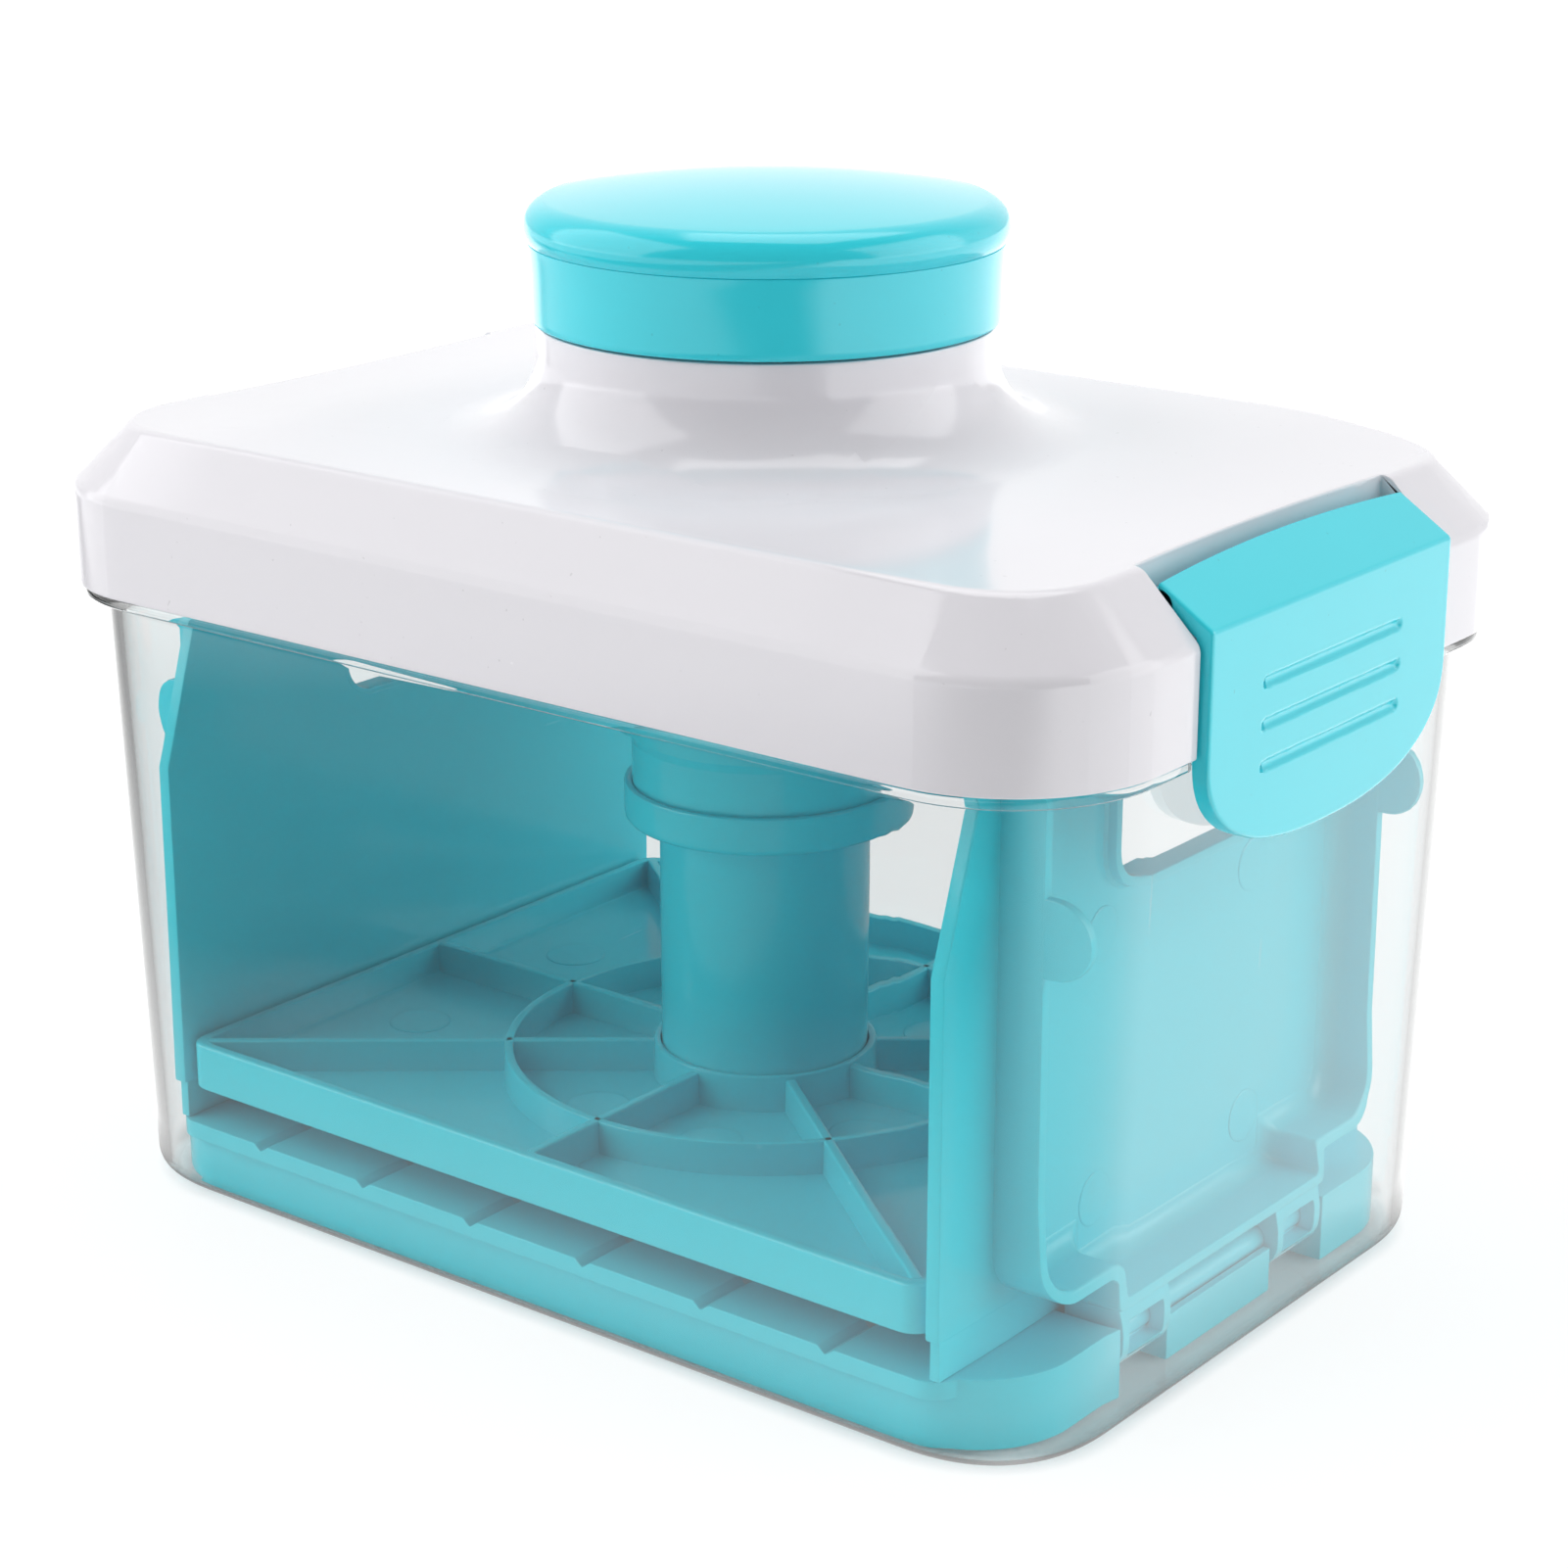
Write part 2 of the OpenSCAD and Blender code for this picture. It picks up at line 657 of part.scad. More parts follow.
module drain_tray() {
  groove_w = 2.6;
  groove_d = 1.0;
  drain_w = 1.6;
  drain_len = 22;
  deck_t = 2.0;
  color(teal) difference() {
    union() {
      translate([0, 0, tray_low_z]) linear_extrude(deck_z - tray_low_z) tray_plan(0);
      translate([0, 0, deck_z - lip_h]) linear_extrude(lip_h) difference() {
        rounded(lip_x, lip_y, lip_r);
        for (sx = [-1, 1], sy = [-1, 1])
          translate([sx * (bay_x + 10), sy * (bay_in_y + bay_out_y) / 2])
            square([20, bay_out_y - bay_in_y], center = true);
      }
    }
    // hollow under the deck
    difference() {
      translate([0, 0, tray_low_z - 1]) linear_extrude(deck_z - deck_t - tray_low_z + 1) tray_plan(tray_wall);
      for (s = [-1, 1])
        translate([s * 70, 0, 5]) cube([12, 2 * bay_in_y, 20], center = true);
    }
    // cradles: lowered top and half-round groove for the rod
    for (side = ["left", "right"])
      at_end(side) {
        box(lip_x - 1.5, tray_x + 1, -bay_in_y, bay_in_y, cradle_top_z, deck_z + 1);
        rod_along_y(rod_x, rod_z, rod_r + 0.3, bay_in_y + 1);
        box(rod_x - rod_r - 0.3, rod_x + rod_r + 0.3, -bay_in_y - 1, bay_in_y + 1, rod_z, deck_z + 1);
        rod_along_y(rod_x, rod_z, rod_r + running_gap, rod_half + 2);
      }
    // drain grooves with slots through their bottoms
    for (i = [0 : groove_count - 1])
      translate([(i - (groove_count - 1) / 2) * groove_pitch, 0, 0]) {
        from_side(lip_y + 1) polygon([[-groove_w / 2, deck_z + eps], [groove_w / 2, deck_z + eps],
                                      [0, deck_z - groove_d]]);
        for (y = [-30, 0, 30])
          box(-drain_w / 2, drain_w / 2, y - drain_len / 2, y + drain_len / 2, 0, deck_z + 1);
      }
  }
}

// ---------- end panels ----------

module panel_plan() {
  top_r = 4;
  polygon(concat(
    [[-panel_half, foot_z], [panel_half, foot_z], [panel_half, shoulder_z]],
    arc(panel_top_half - top_r, panel_top - top_r, top_r, top_r, 15, 90, 6),
    arc(-panel_top_half + top_r, panel_top - top_r, top_r, top_r, 90, 165, 6),
    [[-panel_half, shoulder_z]]));
}

// Outline of the pan: rounded low corners and a deeper middle over the hinge
module pan_plan(inset) {
  low_z = pan_low_z + inset;
  half = pan_half - inset;
  r = pan_corner_r - inset;
  polygon(concat(
    [[half, panel_top - 2]], [[-half, panel_top - 2]],
    arc(-half + r, low_z + r, r, r, 180, 270, 8),
    [[-pan_mid_half + inset, low_z], [-pan_mid_half + inset, pan_mid_low_z + inset],
     [pan_mid_half - inset, pan_mid_low_z + inset], [pan_mid_half - inset, low_z]],
    arc(half - r, low_z + r, r, r, 270, 360, 8)));
}

module end_panel() {
  out_x = panel_x + panel_t;
  edge_x = out_x + pan_depth;
  ear_cx = ear_tip_x - ear_r;
  slot_rim = 1.6;
  difference() {
    union() {
      from_front(panel_x, out_x) panel_plan();
      // foot that stands on the deck
      box(panel_x + foot_inset, out_x - foot_inset, -panel_half + 0.6, panel_half - 0.6, deck_z + 0.05, foot_z + eps);
      // pan wall; its outer edge runs out towards the hinge
      intersection() {
        from_front(out_x - eps, out_x + 10) difference() {
          pan_plan(0);
          pan_plan(pan_wall);
        }
        from_side(panel_half) polygon([
          [out_x - 1, deck_z], [edge_x + pan_flare, deck_z], [edge_x + pan_flare, pan_low_z - 1],
          [edge_x + pan_flare * 0.43, pan_low_z + 3], [edge_x + 0.1, pan_low_z + 15],
          [edge_x, panel_top + 1], [out_x - 1, panel_top + 1]]);
      }
      // cove between the web and the pan wall
      for (i = [0 : cove_steps - 1])
        from_front(out_x - eps, out_x + cove_r * (1 - cos(90 * (i + 0.5) / cove_steps)) + eps) difference() {
          pan_plan(pan_wall / 2);
          pan_plan(pan_wall + cove_r * (1 - sin(90 * (i + 0.5) / cove_steps)));
        }
      // ears that hold the panel off the tub's end wall
      for (s = [-1, 1])
        translate([0, s * (pan_half - pan_wall / 2), 0]) {
          rod_along_y(ear_cx, ear_z, ear_r, pan_wall / 2);
          box(out_x, ear_cx, -pan_wall / 2, pan_wall / 2, ear_z - ear_r, ear_z + ear_r);
        }
      // rim of the finger slot
      from_front(out_x - eps, out_x + slot_rim)
        translate([0, slot_low_z + slot_h / 2]) rounded(slot_half + 1.4, slot_h / 2 + 1.4, slot_r + 1.4);
      // hinge lugs
      for (s = [-1, 1])
        translate([0, s * (lug_in_y + lug_out_y) / 2, 0]) {
          rod_along_y(rod_x, rod_z, knuckle_out_r, (lug_out_y - lug_in_y) / 2);
          box(rod_x - 3.4, rod_x + 3.6, -(lug_out_y - lug_in_y) / 2, (lug_out_y - lug_in_y) / 2,
              rod_z, pan_mid_low_z + 0.2);
        }
    }
    from_front(panel_x - 5, out_x + 20)
      translate([0, slot_low_z + slot_h / 2]) rounded(slot_half, slot_h / 2, slot_r);
    rod_along_y(rod_x, rod_z, rod_r + 0.02, rod_half + 1);
    // cored windows that lighten the lugs and show the rod
    for (s = [-1, 1])
      translate([0, s * (lug_in_y + lug_out_y) / 2, 0])
        box(rod_x + 1.4, rod_x + 6, -3.9, 3.9, rod_z - 1.6, rod_z + 3);
  }
}

module end_panel_right() { color(teal) at_end("right") end_panel(); }
module end_panel_left() { color(teal) at_end("left") end_panel(); }

module hinge_rod() { rod_along_y(rod_x, rod_z, rod_r, rod_half); }
module hinge_rod_right() { color(teal) at_end("right") hinge_rod(); }
module hinge_rod_left() { color(teal) at_end("left") hinge_rod(); }

tub();
lid_shell();
guide_sleeve();
sleeve_collar();
spring_cover();
cover_screws();
press_spring();
knob_skirt();
knob_dome();
plunger_tube();
press_plate();
latch_left();
latch_right();
latch_pin_left();
latch_pin_right();
drain_tray();
end_panel_left();
end_panel_right();
hinge_rod_left();
hinge_rod_right();
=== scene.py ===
# Looks of a tofu press: clear tub, white lid, turquoise knob, latches, plunger, tray and end panels.
# The frame is in metres, +Z up. Shapes are drawn in millimetres and become metres in Piece.ready().

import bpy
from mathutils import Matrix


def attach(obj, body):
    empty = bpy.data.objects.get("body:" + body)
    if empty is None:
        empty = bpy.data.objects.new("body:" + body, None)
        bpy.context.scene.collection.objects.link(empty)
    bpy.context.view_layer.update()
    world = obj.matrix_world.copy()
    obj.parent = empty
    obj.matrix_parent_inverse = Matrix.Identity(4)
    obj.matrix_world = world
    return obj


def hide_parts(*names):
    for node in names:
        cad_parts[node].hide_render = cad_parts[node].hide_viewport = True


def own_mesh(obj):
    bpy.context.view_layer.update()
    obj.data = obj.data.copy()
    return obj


bl_info = {
    "name": "Tofu Press",
    "version": (1, 0, 0),
    "blender": (4, 5, 0),
    "location": "View3D > Sidebar > Tofu Press",
    "description": "Builds the finished surfaces of a spring tofu press round its packed model",
    "category": "Object",
}

import math

import bmesh
import bpy
from bpy.props import FloatProperty, FloatVectorProperty, PointerProperty
from mathutils import Matrix, Vector

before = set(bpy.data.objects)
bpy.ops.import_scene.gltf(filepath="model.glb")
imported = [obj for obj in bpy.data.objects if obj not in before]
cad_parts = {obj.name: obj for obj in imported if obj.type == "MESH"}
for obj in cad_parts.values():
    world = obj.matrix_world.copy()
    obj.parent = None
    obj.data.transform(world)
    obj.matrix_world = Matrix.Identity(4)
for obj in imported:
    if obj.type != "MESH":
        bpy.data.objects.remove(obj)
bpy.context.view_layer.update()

MM = 0.001

# ---------- levels and radii shared by several pieces, in millimetres ----------

LID_BAND = 100.5
LID_TOP = 108.5
NECK_TOP = 123.7
PARTING = 134.3
CROWN = 142.1
PLATE_FLOOR = 18.1
RIB_TOP = 22.6
TUBE_R = 14.3
PLATE_X, PLATE_Y = 63, 50
SPRING_TOP = 125.8
DECK = 10.5
PANEL_X = 63.6
WEB_X = 65.6
ROD_X, ROD_Z = 69.6, 7.7
PIN_X, PIN_Z = 78.9, 104.3
# Where the painted shade along the tub's foot begins in X and Y, and the height where it fades out.
FOOT_SHADE_X, FOOT_SHADE_Y, FOOT_SHADE_HIGH = 75.5, 48.5, 2.2


# ---------- sizes and colours a user would change ----------


class PressSizes(bpy.types.PropertyGroup):
    moulded_edge: FloatProperty(
        name="Moulded edge",
        description="Radius along the edges of the turquoise pieces",
        default=0.3 * MM,
        unit="LENGTH",
    )
    lid_edge: FloatProperty(
        name="Lid edge",
        description="Radius along the sharp edges of the lid",
        default=0.35 * MM,
        unit="LENGTH",
    )
    grip_depth: FloatProperty(
        name="Grip depth",
        description="Depth of the grip grooves on the latches",
        default=0.5 * MM,
        unit="LENGTH",
    )
    mark_height: FloatProperty(
        name="Ejector mark height",
        description="How far the round ejector marks stand proud of the moulded faces",
        default=0.15 * MM,
        unit="LENGTH",
    )


class PressColours(bpy.types.PropertyGroup):
    turquoise: FloatVectorProperty(
        name="Turquoise",
        description="Plastic of the knob, latches, plunger, tray and end panels",
        subtype="COLOR",
        size=3,
        min=0,
        max=1,
        default=(0.038, 0.69, 0.80),
    )
    white: FloatVectorProperty(
        name="White",
        description="Plastic of the lid",
        subtype="COLOR",
        size=3,
        min=0,
        max=1,
        default=(0.80, 0.785, 0.825),
    )
    clear: FloatVectorProperty(
        name="Clear",
        description="Tint of the see-through tub",
        subtype="COLOR",
        size=3,
        min=0,
        max=1,
        default=(0.965, 0.973, 0.972),
    )
    steel: FloatVectorProperty(
        name="Steel",
        description="Spring, screws and pins",
        subtype="COLOR",
        size=3,
        min=0,
        max=1,
        default=(0.60, 0.60, 0.61),
    )


def sizes():
    return bpy.context.scene.press_sizes


def colours():
    return bpy.context.scene.press_colours


# ---------- shader maths ----------


class Socket:
    """A node socket that Python's operators turn into Math nodes."""

    def __init__(self, finish, link):
        self.finish = finish
        self.link = link

    def math(self, operation, *others):
        return self.finish.node("ShaderNodeMath", {"operation": operation}, dict(enumerate((self, *others))))

    def __add__(self, other):
        return self.math("ADD", other)

    def __sub__(self, other):
        return self.math("SUBTRACT", other)

    def __rsub__(self, other):
        return (self * -1.0).math("ADD", other)

    def __mul__(self, other):
        return self.math("MULTIPLY", other)

    def over(self, level, soft):
        """0 below level, 1 above it, with a ramp as wide as soft."""
        return self.finish.node(
            "ShaderNodeMapRange",
            {"clamp": True},
            {"Value": self, "From Min": level - soft / 2, "From Max": level + soft / 2},
        )

    def either(self, other):
        return self.math("MAXIMUM", other)


class Finish:
    """A node tree: node() takes a type, its settings and its sockets' values or links."""

    def __init__(self, owner):
        self.owner = owner
        owner.use_nodes = True
        self.nodes = owner.node_tree.nodes
        self.links = owner.node_tree.links
        self.nodes.clear()

    def node(self, kind, settings=None, inputs=None, out=0):
        made = self.nodes.new(kind)
        for name, value in (settings or {}).items():
            setattr(made, name, value)
        for name, value in (inputs or {}).items():
            if isinstance(value, Socket):
                self.links.new(value.link, made.inputs[name])
            elif value is not None:
                made.inputs[name].default_value = value
        return Socket(self, made.outputs[out])

    def noise(self, scale, detail=2.0, rough=0.5, stretch=None):
        where = self.node("ShaderNodeTexCoord", out="Object")
        if stretch:
            where = self.node("ShaderNodeMapping", {}, {"Vector": where, "Scale": stretch})
        return self.node(
            "ShaderNodeTexNoise",
            {"noise_dimensions": "3D"},
            {"Vector": where, "Scale": scale, "Detail": detail, "Roughness": rough},
        )

    def mix(self, amount, first, second):
        return self.node("ShaderNodeMix", {"data_type": "RGBA"}, {0: amount, 6: first, 7: second}, out=2)

    def bump(self, height, strength, distance):
        return self.node("ShaderNodeBump", {}, {"Height": height, "Strength": strength, "Distance": distance})

    def ray(self, kind):
        return self.node("ShaderNodeLightPath", out=f"Is {kind} Ray")

    def mirrored(self):
        """1 for light that a glossy or clear surface has thrown back on its way."""
        thrown = self.node("ShaderNodeLightPath", out="Glossy Depth").math("MINIMUM", 1.0)
        return thrown * (1 - self.ray("Diffuse"))

    def inside(self):
        """1 for light that has come through the clear tub."""
        return self.node("ShaderNodeLightPath", out="Transmission Depth").math("MINIMUM", 1.0)

    def straight(self):
        """1 for what the camera sees, also through the clear tub."""
        return self.ray("Camera").either(self.ray("Transmission")) * (1 - self.mirrored())

    def along(self, where, direction):
        """How far a place or a ray reaches in a direction."""
        settings = {"operation": "DOT_PRODUCT"}
        return self.node("ShaderNodeVectorMath", settings, {0: where, 1: direction}, out="Value")

    def shade(self, amount, first, second):
        return self.node("ShaderNodeMixShader", {}, {0: amount, 1: first, 2: second})

    def end(self, shader, kind="ShaderNodeOutputMaterial"):
        out = self.nodes.new(kind)
        self.links.new(shader.link, out.inputs["Surface"])
        return self.owner


def tone(colour, factor):
    return (*(min(1.0, c * factor) for c in colour), 1.0)


def moulded_plastic(name, colour, rough, shade):
    """Glossy moulded plastic: flow marks in the colour, handling haze and hairline scuffs in the gloss."""
    f = Finish(bpy.data.materials.new(name))
    flow = f.noise(18, 3, 0.55)
    speck = f.noise(1100, 1, 0.5).over(0.80, 0.03)
    haze = f.noise(45, 4, 0.6)
    scuff = f.noise(260, 3, 0.7, stretch=(1, 0.05, 1)).over(0.74, 0.04)
    ripple = f.noise(130, 2, 0.5)
    base = f.mix(flow, tone(colour, 1 - shade), tone(colour, 1 + shade))
    base = f.mix(speck * 0.5, base, tone(colour, 0.72))
    shader = f.node(
        "ShaderNodeBsdfPrincipled",
        {},
        {
            "Base Color": base,
            "Roughness": haze * 0.08 + scuff * 0.16 + (rough - 0.04),
            "Normal": f.bump(ripple, 0.12, 0.06 * MM),
            "IOR": 1.53,
        },
    )
    return f.end(shader)


def clear_plastic(name, colour):
    """See-through plastic with a painted shade greying its base colour along the foot, faintly milky, with
    sparse hairline scratches.
    """
    f = Finish(bpy.data.materials.new(name))
    haze = f.noise(30, 4, 0.6)
    scratch = f.noise(340, 3, 0.75, stretch=(1, 1, 0.03)).over(0.76, 0.03)
    across = f.noise(300, 3, 0.75, stretch=(0.03, 0.03, 1)).over(0.78, 0.03)
    ripple = f.noise(38, 2, 0.5)
    where = f.node("ShaderNodeTexCoord", out="Object")
    # Painted shade: the base colour greys along the tub's outer foot, standing in for the floor's shadow seen
    # through its rounded bottom edge.
    past_x = f.along(where, (1, 0, 0)).math("ABSOLUTE") - FOOT_SHADE_X * MM
    past_y = f.along(where, (0, 1, 0)).math("ABSOLUTE") - FOOT_SHADE_Y * MM
    below = 1 - f.along(where, (0, 0, 1)).over(FOOT_SHADE_HIGH * MM, 2.6 * MM)
    foot = past_x.either(past_y).over(0, 2 * MM) * below
    tint = f.mix(haze, tone(colour, 0.99), tone(colour, 1.0))
    glass = f.node(
        "ShaderNodeBsdfPrincipled",
        {},
        {
            "Base Color": f.mix(foot, tint, tone(colour, 0.6)),
            "Roughness": haze * 0.02 + scratch * 0.15,
            "Normal": f.bump(ripple, 0.15, 0.08 * MM),
            "Transmission Weight": 1.0,
            "IOR": 1.49,
        },
    )
    milk = f.node("ShaderNodeBsdfDiffuse", {}, {"Color": (0.86, 0.87, 0.88, 1)})
    cloudy = f.shade(haze * 0.008 + scratch * 0.15 + across * 0.10 + 0.002, glass, milk)
    open_air = f.node("ShaderNodeBsdfTransparent", {}, {"Color": (0.99, 0.995, 0.995, 1)})
    light_to_inside = f.ray("Shadow").either(f.ray("Diffuse"))
    return f.end(f.shade(light_to_inside, cloudy, open_air))


def bright_steel(name, colour):
    """Drawn steel with a fine lengthwise grain."""
    f = Finish(bpy.data.materials.new(name))
    grain = f.noise(1500, 2, 0.6, stretch=(1, 1, 0.1))
    shader = f.node(
        "ShaderNodeBsdfPrincipled",
        {},
        {
            "Base Color": f.mix(grain, tone(colour, 0.9), tone(colour, 1.08)),
            "Roughness": grain * 0.15 + 0.2,
            "Metallic": 1.0,
            "Normal": f.bump(grain, 0.1, 0.02 * MM),
        },
    )
    return f.end(shader)


MATERIALS = {}


# ---------- drawing ----------


def arc(cx, cy, rx, ry, start, end, steps, power=2.0):
    """Part of an ellipse; a power above 2 lets it leave the straight sides more softly."""
    turns = [math.radians(start + (end - start) * i / steps) for i in range(steps + 1)]
    ways = [[math.copysign(abs(c) ** (2 / power), c) for c in (math.cos(t), math.sin(t))] for t in turns]
    return [(cx + rx * c, cy + ry * s) for c, s in ways]


def rounded(hx, hy, r, turn=10, along_x=(), along_y=(), power=2.0):
    """Rounded rectangle, anticlockwise; along_x and along_y add points on its straight sides."""
    line = arc(hx - r, hy - r, r, r, 0, 90, turn, power)
    line += [(-x, hy) for x in along_x]
    line += arc(r - hx, hy - r, r, r, 90, 180, turn, power)
    line += [(-hx, -y) for y in along_y]
    line += arc(r - hx, r - hy, r, r, 180, 270, turn, power)
    line += [(x, -hy) for x in along_x]
    line += arc(hx - r, r - hy, r, r, 270, 360, turn, power)
    line += [(hx, y) for y in along_y]
    return line


def at_height(line, z):
    return [(x, y, z) for x, y in line]


def at_front(line, x):
    return [(x, y, z) for y, z in line]


def side_view(line, y):
    return [(x, y, z) for x, z in line]


class Solid:
    """A closed mesh under construction, in millimetres."""

    def __init__(self):
        self.bm = bmesh.new()

    def skin(self, rings, loop=True, wrap=False, caps=False):
        """Joins point rings of equal length with quads.

        loop closes each ring, wrap joins the last ring to the first, caps closes the first and last ring.
        """
        made = [[self.bm.verts.new(p) for p in ring] for ring in rings]
        pairs = list(zip(made, made[1:] + made[:1]))
        for a, b in pairs if wrap else pairs[:-1]:
            n = len(a)
            for i in range(n if loop else n - 1):
                j = (i + 1) % n
                self.bm.faces.new((a[i], a[j], b[j], b[i]))
        if caps:
            self.bm.faces.new(made[0])
            self.bm.faces.new(made[-1])
        if wrap and not loop:
            self.bm.faces.new([ring[0] for ring in made])
            self.bm.faces.new([ring[-1] for ring in made])
        return self

    def prism(self, line, draw, low, high):
        """A drawn outline pushed from low to high; draw is at_height, at_front or side_view."""
        return self.skin([draw(line, low), draw(line, high)], caps=True)

    def block(self, x0, x1, y0, y1, z0, z1):
        return self.prism([(x0, y0), (x1, y0), (x1, y1), (x0, y1)], at_height, z0, z1)

    def turned(self, profile, steps=96, closed=True):
        """Revolves a profile of (radius, height) points about the Z axis."""
        ways = [(math.cos(math.tau * i / steps), math.sin(math.tau * i / steps)) for i in range(steps)]
        self.skin([[(r * c, r * s, z) for c, s in ways] for r, z in profile], wrap=closed)
        bmesh.ops.remove_doubles(self.bm, verts=self.bm.verts, dist=1e-4)
        return self

    def along_y(self, profile, x, z, steps=48):
        """Revolves a profile of (radius, y) points about a line along Y through x, z."""
        self.turned(profile, steps)
        turn = Matrix.Translation((x, 0, z)) @ Matrix.Rotation(math.radians(-90), 4, "X")
        bmesh.ops.transform(self.bm, matrix=turn, verts=self.bm.verts)
        return self

    def copy_of(self, node):
        """A node's loose triangles merged, in millimetres, with its flat faces joined."""
        self.bm.from_mesh(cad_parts[node].data)
        bmesh.ops.scale(self.bm, vec=(1 / MM,) * 3, verts=self.bm.verts)
        bmesh.ops.remove_doubles(self.bm, verts=self.bm.verts, dist=0.01)
        bmesh.ops.dissolve_limit(
            self.bm, angle_limit=math.radians(0.5), verts=self.bm.verts, edges=self.bm.edges
        )
        return self

    def also(self, other):
        """Adds another solid's faces to this one."""
        mesh = bpy.data.meshes.new("part")
        other.bm.to_mesh(mesh)
        self.bm.from_mesh(mesh)
        bpy.data.meshes.remove(mesh)
        return self

    def thing(self):
        """An object in the scene, its faces outward."""
        bmesh.ops.recalc_face_normals(self.bm, faces=self.bm.faces)
        mesh = bpy.data.meshes.new("part")
        self.bm.to_mesh(mesh)
        self.bm.free()
        for face in mesh.polygons:
            face.use_smooth = True
        made = bpy.data.objects.new("part", mesh)
        bpy.context.scene.collection.objects.link(made)
        return made


def baked(thing):
    """The thing's mesh with its modifiers applied; the thing itself is removed."""
    graph = bpy.context.evaluated_depsgraph_get()
    mesh = bpy.data.meshes.new_from_object(thing.evaluated_get(graph))
    old = thing.data
    bpy.data.objects.remove(thing)
    bpy.data.meshes.remove(old)
    return mesh


class Piece:
    """Gathers finished solids into one piece that rides on a body."""

    def __init__(self, name):
        self.name = name
        self.bm = bmesh.new()

    def add(self, solid, edge=0.0, steps=2, angle=35, cut=(), keep=None, tidy=True):
        """Adds a solid whose edges are rounded by the radius edge.

        cut lists solids taken away from it first, keep is a solid outside which nothing stays.
        """
        thing = solid.thing()
        tools = [("DIFFERENCE", tool.thing()) for tool in cut]
        if keep:
            tools.append(("INTERSECT", keep.thing()))
        for operation, tool in tools:
            modifier = thing.modifiers.new("cut", "BOOLEAN")
            modifier.operation = operation
            modifier.solver = "EXACT"
            modifier.object = tool
        mesh = baked(thing)
        for _, tool in tools:
            bpy.data.objects.remove(tool)
        bm = bmesh.new()
        bm.from_mesh(mesh)
        bpy.data.meshes.remove(mesh)
        if tools and tidy:
            bmesh.ops.remove_doubles(bm, verts=bm.verts, dist=0.004)
            bmesh.ops.dissolve_degenerate(bm, edges=bm.edges, dist=0.004)
            bmesh.ops.dissolve_limit(bm, angle_limit=math.radians(0.4), verts=bm.verts, edges=bm.edges)
        if edge:
            sharp = [
                e for e in bm.edges if e.is_manifold and e.calc_face_angle(0) > math.radians(angle)
            ]
            bmesh.ops.bevel(
                bm,
                geom=sharp,
                offset=edge,
                offset_type="OFFSET",
                segments=steps,
                profile=0.5,
                affect="EDGES",
                clamp_overlap=False,
                miter_outer="ARC",
            )
            bmesh.ops.remove_doubles(bm, verts=bm.verts, dist=0.002)
            bmesh.ops.dissolve_degenerate(bm, edges=bm.edges, dist=0.002)
        mesh = bpy.data.meshes.new("part")
        bm.to_mesh(mesh)
        bm.free()
        self.bm.from_mesh(mesh)
        bpy.data.meshes.remove(mesh)
        return self

    def ready(self, body, slot, *nodes, crease=42, turned=False):
        """Shades the piece, puts it in the scene and hands it to the frame."""
        if turned:
            half = Matrix.Rotation(math.pi, 4, "Z")
            bmesh.ops.transform(self.bm, matrix=half, verts=self.bm.verts)
        bmesh.ops.scale(self.bm, vec=(MM,) * 3, verts=self.bm.verts)
        for e in self.bm.edges:
            e.smooth = e.is_manifold and e.calc_face_angle(0) < math.radians(crease)
        mesh = bpy.data.meshes.new(self.name)
        self.bm.to_mesh(mesh)
        self.bm.free()
        for face in mesh.polygons:
            face.use_smooth = True
        thing = bpy.data.objects.new(self.name + "_raw", mesh)
        bpy.context.scene.collection.objects.link(thing)
        weighted = thing.modifiers.new("normals", "WEIGHTED_NORMAL")
        weighted.keep_sharp = True
        weighted.weight = 60
        made = bpy.data.objects.new(self.name, baked(thing))
        made.data.name = self.name
        bpy.context.scene.collection.objects.link(made)
        made.data.materials.clear()
        made.data.materials.append(MATERIALS[slot])
        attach(made, body)
        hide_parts(*nodes)
        return made


# ---------- geometry nodes: one part at many places ----------


def places_tree():
    """Node tree that puts the part at every point, turned about Z by the point's own angle."""
    tree = bpy.data.node_groups.get("part_at_places")
    if tree:
        return tree
    tree = bpy.data.node_groups.new("part_at_places", "GeometryNodeTree")
    face = tree.interface
    face.new_socket(name="Places", in_out="INPUT", socket_type="NodeSocketGeometry")
    face.new_socket(name="Part", in_out="INPUT", socket_type="NodeSocketObject")
    face.new_socket(name="Material", in_out="INPUT", socket_type="NodeSocketMaterial")
    face.new_socket(name="Parts", in_out="OUTPUT", socket_type="NodeSocketGeometry")
    nodes, links = tree.nodes, tree.links
    given = nodes.new("NodeGroupInput")
    result = nodes.new("NodeGroupOutput")
    part = nodes.new("GeometryNodeObjectInfo")
    turn = nodes.new("GeometryNodeInputNamedAttribute")
    turn.data_type = "FLOAT"
    turn.inputs["Name"].default_value = "turn"
    angles = nodes.new("ShaderNodeCombineXYZ")
    spread = nodes.new("GeometryNodeInstanceOnPoints")
    real = nodes.new("GeometryNodeRealizeInstances")
    paint = nodes.new("GeometryNodeSetMaterial")
    links.new(given.outputs["Part"], part.inputs["Object"])
    links.new(turn.outputs["Attribute"], angles.inputs["Z"])
    links.new(given.outputs["Places"], spread.inputs["Points"])
    links.new(part.outputs["Geometry"], spread.inputs["Instance"])
    links.new(angles.outputs["Vector"], spread.inputs["Rotation"])
    links.new(spread.outputs["Instances"], real.inputs["Geometry"])
    links.new(real.outputs["Geometry"], paint.inputs["Geometry"])
    links.new(given.outputs["Material"], paint.inputs["Material"])
    links.new(paint.outputs["Geometry"], result.inputs["Parts"])
    return tree


